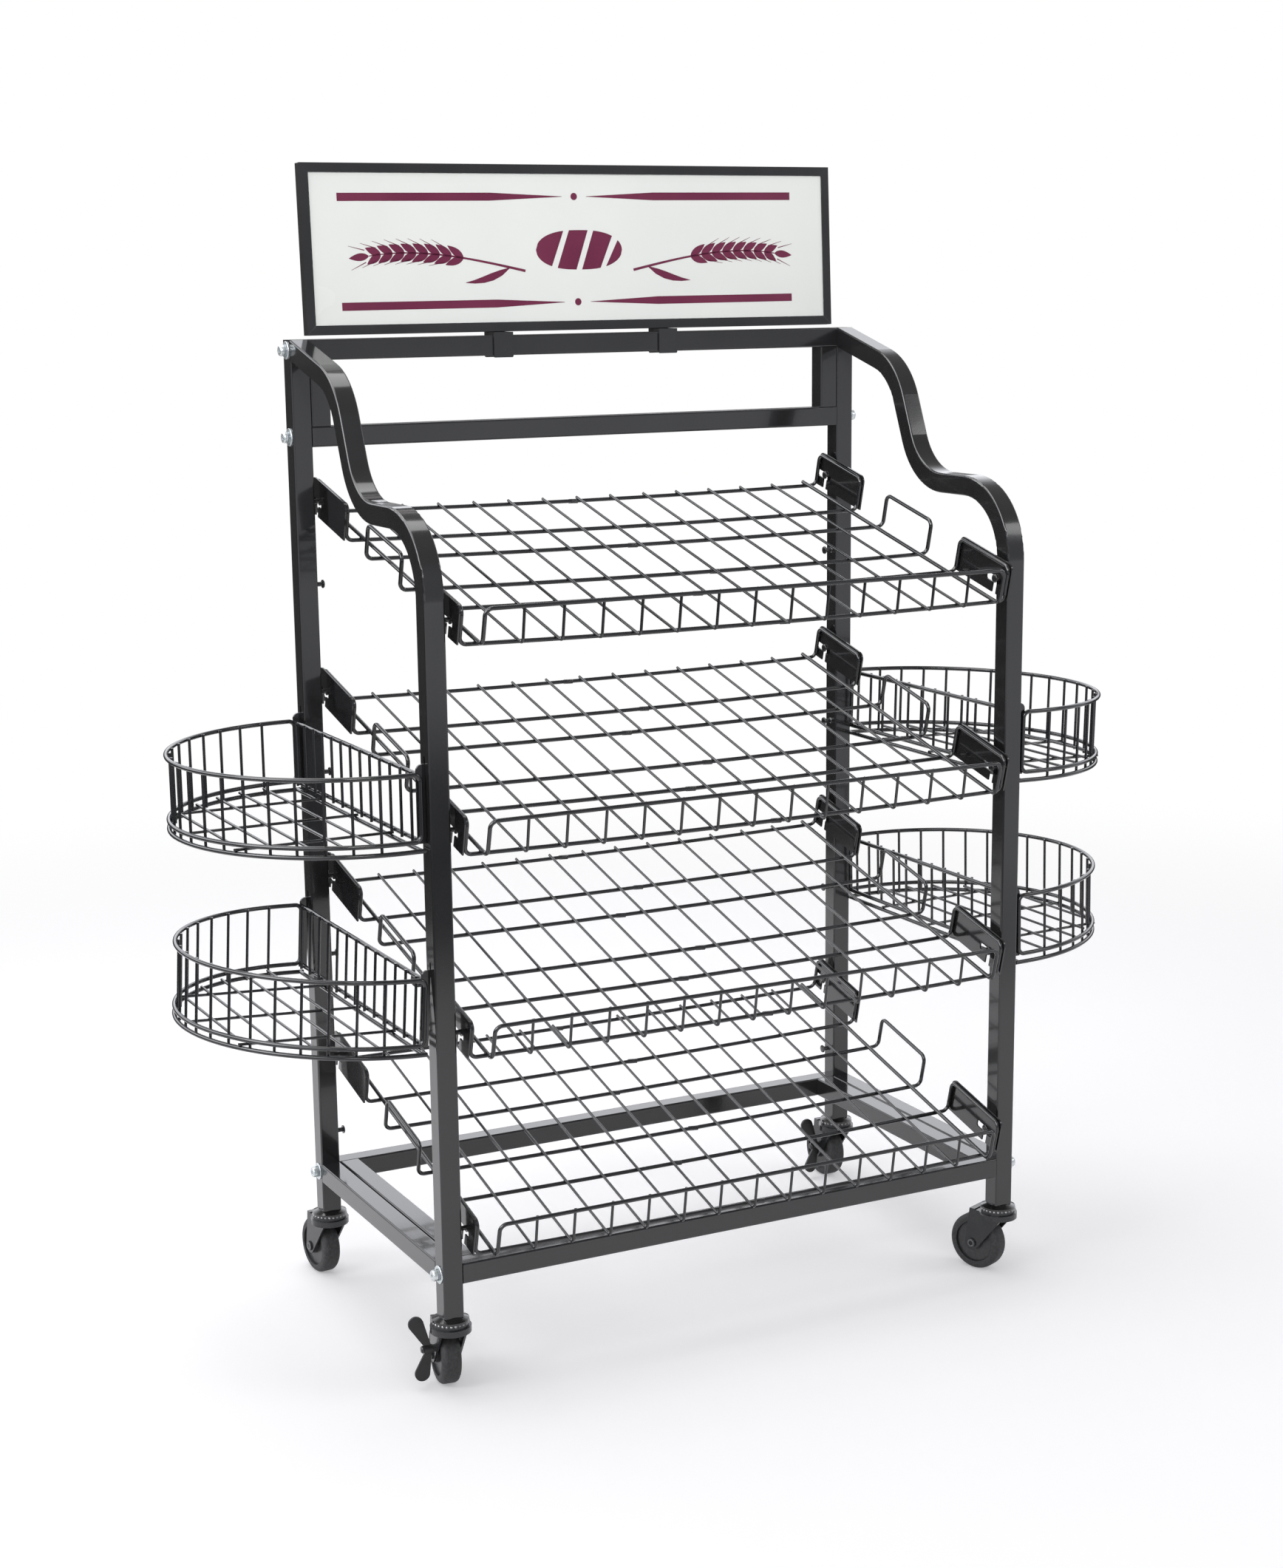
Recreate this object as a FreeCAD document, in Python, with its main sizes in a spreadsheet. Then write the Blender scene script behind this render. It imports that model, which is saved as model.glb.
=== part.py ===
import FreeCAD, Part
import math
import os
import Sketcher
from FreeCAD import Placement, Rotation, Vector

# Mobile bakery rack, in millimetres. X runs across the rack, -Y is the customer side, +Z is up.
# The origin lies on the floor, in the middle of the footprint from the shelf lips to the rear
# tyres; the posts stand a little in front of that middle.

document = FreeCAD.newDocument("BakeryRack")
document.UndoMode = 0
sizes = document.addObject("Spreadsheet::Sheet", "Sizes")
layout = document.addObject("Spreadsheet::Sheet", "Layout")
rows = {"Sizes": 0, "Layout": 0}


def write_row(sheet, alias, content):
    """A row of a sheet: the name in column A, the number or formula in column B."""
    rows[sheet.Name] += 1
    row = rows[sheet.Name]
    sheet.set(f"A{row}", alias)
    sheet.set(f"B{row}", content)
    sheet.setAlias(f"B{row}", alias)


DRIVING_SIZES = {
    # Frame of square tube
    "frame_width": 813,  # outside width over the posts
    "frame_depth": 435,  # outside depth over the posts
    "origin_setback": 6.7,  # origin behind the middle of the posts
    "caster_height": 97,  # floor to the open lower ends of the posts
    "rear_post_length": 1133.4,  # rear posts, from the open lower end to the flat top
    "tube_side": 25.4,  # outside of the square tube
    "tube_wall": 1.5,  # wall of the square tube
    "tube_corner": 2.2,  # outside corner radius of the square tube
    "base_rail_rise": 40.6,  # post lower end to the underside of the base rails
    "base_rail_seam": 1.5,  # open seam between a side rail and the base rail beside it
    "top_rail_spacing": 81,  # clear height between the two rear top rails

    # Bent front tubes
    "arm_upper_run": 136.9,  # depth of the shallow top run
    "arm_upper_drop": 37.8,  # fall of the shallow top run
    "arm_steep_run": 61.7,  # depth of the steep run
    "arm_steep_drop": 143.5,  # fall of the steep run
    "arm_bend_radius": 88,  # centre-line radius of the bends

    # Shelf studs
    "stud_first_level": 105.5,  # post lower end to the lowest front studs
    "shelf_pitch": 241.3,  # spacing of the shelves and of the baskets
    "shelf_count": 4,  # shelves
    "shelf_rise": 104,  # rear stud of a shelf above its front stud
    "stud_diameter": 5.8,  # stud shank
    "stud_play": 0.4,  # stud head to the hanger plate
    "stud_head_diameter": 10.8,  # stud head
    "stud_head_thickness": 2.4,  # stud head

    # Frame bolts
    "bolt_diameter": 8,  # bolt shank
    "bolt_grip": 34,  # bolt shank under the spring washer
    "bolt_head_diameter": 14,  # round bolt head
    "bolt_head_height": 6,  # round bolt head
    "bolt_socket_width": 5,  # hexagon socket across its flats
    "bolt_socket_depth": 3.5,  # hexagon socket
    "flat_washer_diameter": 22,  # flat washer
    "flat_washer_thickness": 1.6,  # flat washer
    "spring_washer_diameter": 14.5,  # spring washer
    "spring_washer_thickness": 2.2,  # spring washer
    "bolt_play": 0.1,  # radial play between the bolts and their holes
    "rail_plug_length": 12,  # threaded plug in each bolted rail end

    # Shelves of welded wire
    "shelf_wire": 5,  # heavy shelf wire
    "shelf_thin_wire": 3.5,  # thin shelf wire
    "loop_front_overhang": 27,  # front loop ahead of the front studs
    "loop_width": 110,  # loop, front wire to rear wire
    "loop_rear_overhang": 17.4,  # rear loop behind the rear studs
    "loop_drop": 20,  # loop wires below the line through the studs
    "loop_end_rise": 24,  # upturned loop ends above the line through the studs
    "loop_bend_radius": 9,  # loop corners
    "grid_inset": 20,  # outermost long wires inside the upturned loop ends
    "grid_intervals": 14,  # spaces between the long wires
    "grid_rear_overhang": 3,  # long wires past the rearmost cross wire
    "lip_height": 28.5,  # front lip wire above the line through the studs
    "lip_bend_radius": 9,  # bends of the lip wire
    "thin_bend_radius": 6,  # bends of the thin wires at the lip
    "lip_lean": 4,  # tops of the lip's uprights behind their feet
    "lip_gap": 14.8,  # feet of the lip's uprights ahead of the first cross wire
    "shelf_sag": 4,  # fall of the cross wires in the middle of the shelf

    # Keyhole hanger plates of the shelves
    "hanger_thickness": 2,  # hanger plate
    "hanger_margin": 3.5,  # plate edge beyond the loop wire's centre
    "hanger_corner": 9,  # upper plate corners
    "hanger_lower_edge": 19,  # lower plate edge below the studs
    "keyhole_front_reach": 14,  # chamber ahead of the stud
    "keyhole_rear_reach": 20,  # chamber behind the stud
    "keyhole_height": 9,  # chamber height
    "keyhole_corner": 3,  # round corners of the chamber
    "keyhole_mouth": 8.5,  # open mouth below the chamber
    "keyhole_play": 0.05,  # chamber roof above the stud
    "shelf_end_play": 7.6,  # hanger plate to the post's inner face

    # Side baskets of welded wire
    "basket_rim_height": 656.8,  # post lower end to the rim of the upper baskets
    "basket_wall_height": 78,  # rim to the upper bottom ring
    "basket_ring_drop": 10.9,  # upper bottom ring to the lower one
    "basket_standoff": 7.5,  # basket end wires from the post's outer face
    "basket_wire": 5.5,  # heavy basket wire
    "basket_thin_wire": 3.5,  # thin basket wire
    "basket_corner": 8,  # corner bends of the rim wire
    "basket_straight": 6,  # level run of the rims before their half round
    "basket_back_drop": 1.2,  # back rail below the rim
    "basket_ring_setback": 3,  # ends of the lower ring from the post
    "basket_curve_count": 19,  # upright wires round the curve
    "basket_back_count": 13,  # upright wires across the back
    "basket_back_pitch": 32,  # spacing of the uprights across the back
    "basket_floor_pitch": 35,  # spacing of the floor wires along the rack's depth
    "basket_rib_spacing": 115,  # spacing of the floor wires across the basket
    "hook_thickness": 3,  # basket hook strip
    "hook_width": 10.5,  # basket hook strip
    "hook_seam": 0.3,  # hook strip to the post
    "hook_rise": 11,  # hook strip above the rim
    "hook_reach": 7,  # hook tongue into the post
    "hook_tongue_height": 6,  # hook tongue through the post's wall
    "hook_tip_drop": 5,  # hook tip behind the post's wall
    "hook_corner": 7.4,  # round outer corner at the top of a hook strip
    "hook_tip_gap": 2.6,  # hook tip to the inside of the post's wall
    "hook_play": 0.3,  # hook tongue's clearance in its slot
    "hook_slot_headroom": 8,  # slot above the tongue, for lifting out
    "basket_upper_left_lean": 0,  # rise of the basket's outer end in degrees
    "basket_upper_right_lean": -1.4,  # rise of the basket's outer end in degrees
    "basket_lower_left_lean": 3.4,  # rise of the basket's outer end in degrees
    "basket_lower_right_lean": 1.1,  # rise of the basket's outer end in degrees

    # Header sign
    "sign_end_gap": 2.6,  # sign frame short of the posts' inner faces
    "sign_height": 208.5,  # outside of the sign frame
    "sign_depth": 14,  # sign frame
    "sign_border": 11.5,  # sign frame bars
    "sign_lip_depth": 1.5,  # panel behind the frame's front edge
    "sign_panel_thickness": 5,  # sign panel
    "sign_lean": 2.9,  # backward lean in degrees
    "sign_setback": 10.4,  # sign's lower front edge behind the rail's front face
    "clip_width": 27,  # saddle clips
    "clip_spacing": 238,  # between the middles of the saddle clips
    "clip_thickness": 2.5,  # legs of the saddle clips
    "clip_bridge": 4,  # bridge of the saddle clips
    "clip_overlap": 2.5,  # clip legs below the rail
    "clip_toe_radius": 2,  # rounded ends of the clip legs
    "clip_play": 0.1,  # clip around the rail

    # Swivel casters
    "wheel_diameter": 75,  # caster tyre
    "wheel_width": 24,  # caster tyre
    "wheel_crown": 6.5,  # rounding of the tyre's shoulders
    "hub_diameter": 54,  # wheel centre
    "hub_play": 0.3,  # wheel centre to each fork leg
    "hub_dish": 3,  # hollow in each side of the wheel centre
    "hub_boss_diameter": 22,  # boss around the axle
    "axle_diameter": 8,  # wheel axle
    "axle_play": 0.05,  # radial play on pins and axles
    "axle_head_diameter": 13,  # axle head and nut
    "axle_head_thickness": 2,  # axle head and nut
    "caster_trail": 30,  # axle behind the swivel pin
    "fork_gap": 28,  # between the fork legs
    "fork_thickness": 2.5,  # fork plate
    "fork_boss_radius": 10,  # fork leg around the axle
    "fork_crown_diameter": 50,  # fork crown
    "fork_leg_front": 19,  # fork leg ahead of the swivel pin
    "fork_leg_rear": 34,  # fork leg behind the swivel pin
    "fork_shoulder": 1.5,  # fork leg's upright front edge
    "fork_skirt_drop": 7.5,  # front skirt of the crown
    "fork_skirt_thickness": 2.5,  # front skirt of the crown
    "fork_skirt_reach": 5,  # rear edge of the front skirt behind the swivel pin
    "fork_hood_front": 26,  # raised rear end of the crown, behind the swivel pin
    "fork_hood_rise": 1.2,  # raised rear end of the crown
    "race_diameter": 45,  # fixed upper race
    "race_neck_diameter": 29,  # top of the upper race
    "race_height": 7,  # post end to the foot of the upper race
    "race_band": 3.6,  # upright band at the foot of the upper race
    "race_gap": 0.3,  # between the two races
    "lower_race_diameter": 44,  # lower race on the fork crown
    "lower_race_height": 4.9,  # lower race on the fork crown
    "swivel_pin_diameter": 10,  # swivel pin
    "swivel_rivet_diameter": 16,  # riveted end of the swivel pin
    "swivel_rivet_height": 3,  # riveted end of the swivel pin
    "stem_plug_length": 30,  # caster plug inside the post
    "front_left_swivel": 82,  # trailing direction in degrees from +X
    "front_right_swivel": 112,  # trailing direction in degrees from +X
    "rear_left_swivel": 96,  # trailing direction in degrees from +X
    "rear_right_swivel": 90,  # trailing direction in degrees from +X

    # Side brake levers
    "lever_height": 49,  # lever pivot above the floor
    "lever_trail": 20,  # lever pivot behind the swivel pin
    "lever_root_offset": 3.4,  # roots of the paddles beyond the hub's inner end
    "lever_root_radius": 3.2,  # round roots of the paddles
    "lever_lobe_radius": 9.3,  # round ends of the paddles
    "lever_upper_rise": 33.5,  # middle of the upper round end above the pivot
    "lever_upper_spread": 19.2,  # the same, beyond the hub's inner end
    "lever_lower_fall": 30.5,  # middle of the lower round end below the pivot
    "lever_lower_spread": 12.7,  # the same, beyond the hub's inner end
    "lever_thickness": 3,  # paddles
    "lever_hub_radius": 5.5,  # barrel on the pivot pin
    "lever_hub_length": 10.2,  # barrel on the pivot pin
    "lever_play": 0.3,  # barrel to its shoulder and pin head
    "lever_pin_diameter": 6,  # pivot pin
    "lever_shoulder_diameter": 9,  # pivot pin shoulder on the fork leg
    "lever_head_diameter": 9,  # pivot pin head
    "lever_head_height": 3.5,  # domed pivot pin head
    "lever_head_dome": 2.5,  # rounding of the pin head
}
for alias, value in DRIVING_SIZES.items():
    write_row(sizes, alias, str(value))


def place(alias, formula, note):
    """A position or length worked out from the driving dimensions."""
    write_row(layout, alias, "=" + formula)
    layout.set(f"C{rows['Layout']}", note)


place("post_x", "(Sizes.frame_width - Sizes.tube_side) / 2", "post centres from the middle")
place("post_y", "(Sizes.frame_depth - Sizes.tube_side) / 2", "post centres from the middle")
place("inner_x", "post_x - Sizes.tube_side / 2", "inner faces of the posts")
place("outer_x", "post_x + Sizes.tube_side / 2", "outer faces of the posts")
place("inner_y", "post_y - Sizes.tube_side / 2", "faces of the posts towards the middle")
place("base_z", "Sizes.caster_height + Sizes.base_rail_rise", "underside of the base rails")
place("base_bolt_z", "base_z + Sizes.tube_side / 2", "middle of the base rails")
place("top_z", "Sizes.caster_height + Sizes.rear_post_length", "top of the rear posts")
place("upper_rail_z", "top_z - Sizes.tube_side", "underside of the upper top rail")
place("lower_rail_top", "upper_rail_z - Sizes.top_rail_spacing", "top of the lower top rail")
place("lower_rail_z", "lower_rail_top - Sizes.tube_side", "underside of the lower top rail")
place("lower_bolt_z", "lower_rail_z + Sizes.tube_side / 2", "middle of the lower top rail")
place("upper_bolt_z", "upper_rail_z + Sizes.tube_side / 2", "middle of the upper top rail")
place("base_side_x", "inner_x - Sizes.base_rail_seam - Sizes.tube_side / 2", "side base rails")
place("upright_x", "inner_x - Sizes.tube_side / 2", "end uprights of the top panel")
place("rim_z", "Sizes.caster_height + Sizes.basket_rim_height", "rim of the upper baskets")
place("first_stud_z", "Sizes.caster_height + Sizes.stud_first_level", "lowest front studs")
place("stud_span", "2 * post_y", "front studs to rear studs")
place("inner_tube", "Sizes.tube_side - 2 * Sizes.tube_wall", "inside of the square tube")
place("inner_corner", "Sizes.tube_corner - Sizes.tube_wall", "inside corner radius of the tube")
place("arm_slope", "Sizes.arm_upper_drop / Sizes.arm_upper_run", "fall of the top run")
place("arm_top_z", "top_z - Sizes.tube_side / 2 * sqrt(1 + arm_slope ^ 2)", "top run at the post")
place("arm_steep_z", "arm_top_z - Sizes.arm_upper_drop", "head of the steep run")
place("arm_level_z", "arm_steep_z - Sizes.arm_steep_drop", "middle of the level run")
place("arm_upper_y", "inner_y - Sizes.arm_upper_run", "head of the steep run")
place("arm_lower_y", "arm_upper_y - Sizes.arm_steep_run", "foot of the steep run")
place("hanger_x", "inner_x - Sizes.shelf_end_play", "outer faces of the hanger plates")
place("loop_end_x", "hanger_x - Sizes.hanger_thickness - Sizes.shelf_wire / 2", "loop ends")
place("grid_x", "loop_end_x - Sizes.grid_inset", "outermost long wires")
place("stud_shank", "Sizes.shelf_end_play + Sizes.hanger_thickness + Sizes.stud_play", "shank")
place("basket_end_y", "post_y + (Sizes.hook_thickness + Sizes.basket_wire) / 2", "end wires")
place("axle_z", "Sizes.wheel_diameter / 2", "wheel axles")
place("sign_width", "2 * (inner_x - Sizes.sign_end_gap)", "outside of the sign frame")
place("clip_top", "top_z + Sizes.clip_play + Sizes.clip_bridge", "top of the saddle clips")
place("race_foot_z", "Sizes.caster_height - Sizes.race_height", "foot of the upper race")
place("crown_top_z", "race_foot_z - Sizes.race_gap - Sizes.lower_race_height", "fork crown")
place("crown_foot_z", "crown_top_z - Sizes.fork_thickness", "underside of the fork crown")
place("leg_outside", "Sizes.fork_gap / 2 + Sizes.fork_thickness", "outer faces of the fork legs")
document.recompute()

nodes = []


def get(alias):
    """Present value of a named size or worked-out position."""
    sheet = sizes if sizes.getCellFromAlias(alias) else layout
    return float(getattr(sheet, alias))


def bind(target, **formulas):
    """Bind properties, written with _ for the dots of a path, to sheet expressions."""
    for path, formula in formulas.items():
        target.setExpression(path.replace("__", "."), formula)


def seat(target, label, x="0", y="0", z="0", turn=None, angle=None):
    """Place a finished sub-part and keep it as a node named by its label."""
    target.Label = label
    if turn is not None:
        target.Placement = Placement(Vector(), turn)
    if angle is not None:
        target.setExpression("Placement.Rotation.Angle", angle)
    bind(target, Placement__Base__x=x, Placement__Base__z=z)
    bind(target, Placement__Base__y=f"{y} - Sizes.origin_setback")
    nodes.append(target)
    return target


# ---- Sketches -------------------------------------------------------------------------------

def plane_sketch(body, plane, name):
    sketch = body.newObject("Sketcher::SketchObject", name)
    origin_planes = body.Origin.OriginFeatures
    sketch.AttachmentSupport = next(item for item in origin_planes if item.Role == plane)
    sketch.MapMode = "FlatFace"
    return sketch


def drive(sketch, constraint, formula):
    """Add a dimension and bind it to the sheets."""
    index = sketch.addConstraint(constraint)
    sketch.renameConstraint(index, f"size{index}")
    sketch.setExpression(f"Constraints.size{index}", formula)


def rounded_square(sketch, side, corner):
    """A square with round corners about the sketch's origin, from two sheet aliases."""
    half = get(side) / 2
    radius = get(corner)
    first = sketch.GeometryCount
    reach = half - radius
    for turn in range(4):
        spin = Rotation(Vector(0, 0, 1), 90 * turn)
        start = spin * Vector(half, -reach, 0)
        end = spin * Vector(half, reach, 0)
        sketch.addGeometry(Part.LineSegment(start, end))
    for turn in range(4):
        centre = Rotation(Vector(0, 0, 1), 90 * turn) * Vector(reach, reach, 0)
        circle = Part.Circle(centre, Vector(0, 0, 1), radius)
        from_angle = math.radians(90 * turn)
        sketch.addGeometry(Part.ArcOfCircle(circle, from_angle, from_angle + math.pi / 2))
    for turn in range(4):
        line = first + turn
        arc = first + 4 + turn
        next_line = first + (turn + 1) % 4
        sketch.addConstraint(Sketcher.Constraint("Tangent", line, 2, arc, 1))
        sketch.addConstraint(Sketcher.Constraint("Tangent", arc, 2, next_line, 1))
        direction = "Vertical" if turn % 2 == 0 else "Horizontal"
        sketch.addConstraint(Sketcher.Constraint(direction, line))
        if turn:
            sketch.addConstraint(Sketcher.Constraint("Equal", first + 4, arc))
    low_arc = first + 6
    high_arc = first + 4
    sketch.addConstraint(Sketcher.Constraint("Symmetric", low_arc, 3, high_arc, 3, -1, 1))
    drive(sketch, Sketcher.Constraint("Radius", high_arc, radius), full_name(corner))
    across = Sketcher.Constraint("DistanceX", first + 2, 1, first, 1, 2 * half)
    upward = Sketcher.Constraint("DistanceY", first + 3, 1, first + 1, 1, 2 * half)
    drive(sketch, across, full_name(side))
    drive(sketch, upward, full_name(side))


def full_name(alias):
    """An alias with the sheet that holds it."""
    return f"Sizes.{alias}" if sizes.getCellFromAlias(alias) else f"Layout.{alias}"


def worth(formula):
    """Present value of a formula over the sheets."""
    return float(sizes.evalExpression(formula))


def bent_line(sketch, corners, bend):
    """Straight lines joined by tangent arcs, through corners that are pairs of formulas."""
    points = [Vector(worth(across), worth(upward), 0) for across, upward in corners]
    radius = get(bend)
    ends = [points[0]]
    arcs = []
    for before, corner, after in zip(points, points[1:], points[2:]):
        arcs.append(tangent_arc(before, corner, after, radius))
        ends += [arcs[-1][0], arcs[-1][2]]
    ends.append(points[-1])
    lines = []
    for start, end in zip(ends[::2], ends[1::2]):
        lines.append(sketch.addGeometry(Part.LineSegment(start, end)))
    for number, (start, middle, end) in enumerate(arcs):
        arc = sketch.addGeometry(Part.Arc(start, middle, end))
        near, far = (1, 2) if sketch.getPoint(arc, 1).isEqual(start, 0.001) else (2, 1)
        point = sketch.addGeometry(Part.Point(points[number + 1]), True)
        before, after = lines[number:number + 2]
        sketch.addConstraint(Sketcher.Constraint("Tangent", before, 2, arc, near))
        sketch.addConstraint(Sketcher.Constraint("Tangent", arc, far, after, 1))
        sketch.addConstraint(Sketcher.Constraint("PointOnObject", point, 1, before))
        sketch.addConstraint(Sketcher.Constraint("PointOnObject", point, 1, after))
        drive(sketch, Sketcher.Constraint("Radius", arc, radius), full_name(bend))
        pin_point(sketch, point, 1, corners[number + 1])
    pin_point(sketch, lines[0], 1, corners[0])
    pin_point(sketch, lines[-1], 2, corners[-1])


def pin_point(sketch, geometry, end, corner):
    """Hold a point at two sheet-driven distances from the sketch's origin."""
    for direction, formula in zip(("DistanceX", "DistanceY"), corner):
        distance = Sketcher.Constraint(direction, -1, 1, geometry, end, worth(formula))
        drive(sketch, distance, formula)


def tangent_arc(before, corner, after, radius):
    """Start, middle and end of the arc that rounds a corner between two runs."""
    inward = (before - corner).normalize()
    outward = (after - corner).normalize()
    half_turn = (math.pi - inward.getAngle(outward)) / 2
    setback = radius * math.tan(half_turn)
    bisector = (inward + outward).normalize()
    middle = corner + bisector * (radius / math.cos(half_turn) - radius)
    return corner + inward * setback, middle, corner + outward * setback


# ---- Square tube ----------------------------------------------------------------------------

ALONG_X = Rotation(Vector(0, 1, 0), 90)
ALONG_Y = Rotation(Vector(1, 0, 0), -90)
ABOUT_X = Rotation(Vector(1, 0, 0), 1)  # its angle comes from a formula


def open_tube(length):
    """A length of square tube, upwards from the origin, open at both ends."""
    body = document.addObject("PartDesign::Body", "Tube")
    section = plane_sketch(body, "XY_Plane", "Section")
    rounded_square(section, "tube_side", "tube_corner")
    rounded_square(section, "inner_tube", "inner_corner")
    pad = body.newObject("PartDesign::Pad", "Pad")
    pad.Profile = section
    bind(pad, Length=length)
    return body


def closed_tube(length, x, y, z):
    """An upright square tube whose upper end is closed by a flat wall."""
    body = document.addObject("PartDesign::Body", "Post")
    section = plane_sketch(body, "XY_Plane", "Section")
    rounded_square(section, "tube_side", "tube_corner")
    pad = body.newObject("PartDesign::Pad", "Pad")
    pad.Profile = section
    bind(pad, Length=length)
    hollow = plane_sketch(body, "XY_Plane", "Hollow")
    rounded_square(hollow, "inner_tube", "inner_corner")
    pocket = body.newObject("PartDesign::Pocket", "Pocket")
    pocket.Profile = hollow
    pocket.Reversed = True
    bind(pocket, Length=f"{length} - Sizes.tube_wall")
    bind(body, Placement__Base__x=x, Placement__Base__y=y, Placement__Base__z=z)
    return body


def cylinder(radius, height, x="0", y="0", z="0", turn=None):
    """A round pin or hole from expressions; its axis is +Z before it is turned."""
    pin = document.addObject("Part::Cylinder", "Cylinder")
    if turn is not None:
        pin.Placement = Placement(Vector(), turn)
    bind(pin, Radius=radius, Height=height)
    bind(pin, Placement__Base__x=x, Placement__Base__y=y, Placement__Base__z=z)
    return pin


def box(length, width, height, x="0", y="0", z="0"):
    """A block from expressions, from its corner nearest to minus X, Y and Z."""
    block = document.addObject("Part::Box", "Block")
    bind(block, Length=length, Width=width, Height=height)
    bind(block, Placement__Base__x=x, Placement__Base__y=y, Placement__Base__z=z)
    return block


def combine(kind, parts):
    """One Fuse or Compound of several objects."""
    if len(parts) == 1 and kind == "Part::MultiFuse":
        return parts[0]
    joined = document.addObject(kind, kind.split("::")[1])
    if kind == "Part::Compound":
        joined.Links = parts
    else:
        joined.Shapes = parts
    return joined


def cut(base, tools):
    """The base with every tool taken away."""
    result = document.addObject("Part::Cut", "Cut")
    result.Base = base
    result.Tool = combine("Part::MultiFuse", tools)
    return result


# ---- Frame ----------------------------------------------------------------------------------

SIDES = {"left": -1, "right": 1}
ENDS = {"front": -1, "rear": 1}
ALONG_MINUS_X = Rotation(Vector(0, 1, 0), -90)


def outward(side):
    """Rotation that turns +Z to the outside of the rack on one side."""
    return ALONG_X if side > 0 else ALONG_MINUS_X


def hook_slot(side, end, rim):
    """Slot in the post's outer wall that takes the tongue of a basket hook."""
    margin = "Sizes.hook_play"
    depth = "2 * Sizes.tube_wall"
    width = f"Sizes.hook_thickness + 2 * {margin}"
    height = f"Sizes.hook_tongue_height + Sizes.hook_slot_headroom + 2 * {margin}"
    x = f"{side} * Layout.outer_x - {depth} / 2"
    y = f"{end} * Layout.post_y - ({width}) / 2"
    z = f"{rim} + Sizes.hook_rise - Sizes.hook_tongue_height - {margin}"
    return box(depth, width, height, x, y, z)


def bolt_hole(side, end, z):
    radius = "Sizes.bolt_diameter / 2 + Sizes.bolt_play"
    x = f"{side} * Layout.inner_x"
    return cylinder(radius, "Sizes.tube_side", x, f"{end} * Layout.post_y", z, outward(side))


def basket_rims():
    """Rim heights of the two rows of baskets."""
    return {"upper": "Layout.rim_z", "lower": "(Layout.rim_z - Sizes.shelf_pitch)"}


def drilled_post(base, side, end, bolt_levels):
    """A post with its bolt holes and basket slots."""
    tools = [bolt_hole(side, end, z) for z in bolt_levels]
    tools += [hook_slot(side, end, rim) for rim in basket_rims().values()]
    return cut(base, tools)


def front_tube(side):
    """One tube bent into the top slope, the steep arm, the level run and the front post."""
    body = document.addObject("PartDesign::Body", "FrontTube")
    spine = plane_sketch(body, "YZ_Plane", "Spine")
    corners = [
        ("Layout.inner_y + Sizes.tube_side / 2",
         "Layout.arm_top_z + Sizes.tube_side / 2 * Layout.arm_slope"),
        ("Layout.arm_upper_y", "Layout.arm_steep_z"),
        ("Layout.arm_lower_y", "Layout.arm_level_z"),
        ("-Layout.post_y", "Layout.arm_level_z"),
        ("-Layout.post_y", "Sizes.caster_height"),
    ]
    bent_line(spine, corners, "arm_bend_radius")
    section = plane_sketch(body, "XY_Plane", "Section")
    bind(section, AttachmentOffset__Base__y="-Layout.post_y")
    bind(section, AttachmentOffset__Base__z="Sizes.caster_height")
    rounded_square(section, "tube_side", "tube_corner")
    rounded_square(section, "inner_tube", "inner_corner")
    pipe = body.newObject("PartDesign::AdditivePipe", "Pipe")
    pipe.Profile = section
    pipe.Spine = (spine, [])
    width = "2 * Sizes.tube_side"
    past_post = box(width, width, width, "-Sizes.tube_side", "Layout.inner_y",
                    "Layout.arm_top_z - Sizes.tube_side")
    trimmed = cut(body, [past_post])
    bind(trimmed, Placement__Base__x=f"{side} * Layout.post_x")
    return drilled_post(trimmed, side, -1, ["Layout.base_bolt_z"])


def rear_post(side):
    x = f"{side} * Layout.post_x"
    post = closed_tube("Sizes.rear_post_length", x, "Layout.post_y", "Sizes.caster_height")
    levels = ["Layout.base_bolt_z", "Layout.lower_bolt_z", "Layout.upper_bolt_z"]
    return drilled_post(post, side, 1, levels)


def cross_rail(label, y, z, reach="Layout.inner_x"):
    """A rail across the rack, between the inner faces of the posts."""
    return seat(open_tube(f"2 * {reach}"), label, f"-{reach}", y, z, ALONG_X)


def depth_rail(label, x, z):
    """A rail from front to rear, between the posts."""
    return seat(open_tube("2 * Layout.inner_y"), label, x, "-Layout.inner_y", z, ALONG_Y)


for name, side in SIDES.items():
    seat(rear_post(side), f"rear_post_{name}")
    seat(front_tube(side), f"front_tube_{name}")
    depth_rail(f"side_rail_{name}", f"{side} * Layout.post_x", "Layout.base_bolt_z")
    depth_rail(f"base_rail_{name}", f"{side} * Layout.base_side_x", "Layout.base_bolt_z")
    seat(open_tube("Sizes.top_rail_spacing"), f"top_upright_{name}",
         f"{side} * Layout.upright_x", "Layout.post_y", "Layout.lower_rail_top")
for name, end in ENDS.items():
    cross_rail(f"base_rail_{name}", f"{end} * Layout.post_y", "Layout.base_bolt_z")
cross_rail("top_rail_lower", "Layout.post_y", "Layout.lower_bolt_z")
cross_rail("top_rail_upper", "Layout.post_y", "Layout.upper_bolt_z")


# ---- Fasteners of the frame -----------------------------------------------------------------

def bolt_places():
    """Side, end and height of each frame bolt."""
    places = []
    for side in SIDES.values():
        places += [(side, end, "Layout.base_bolt_z") for end in ENDS.values()]
        places += [(side, 1, f"Layout.{level}_bolt_z") for level in ("lower", "upper")]
    return places


def bolt_stack(side, end, z, start, radius, height, bore=None):
    """A disc or ring of a bolt's stack, starting that far outside the post's outer face."""
    x = f"{side} * (Layout.outer_x + {start})"
    y = f"{end} * Layout.post_y"
    disc = cylinder(radius, height, x, y, z, outward(side))
    if bore is None:
        return disc
    return cut(disc, [cylinder(bore, height, x, y, z, outward(side))])


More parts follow.
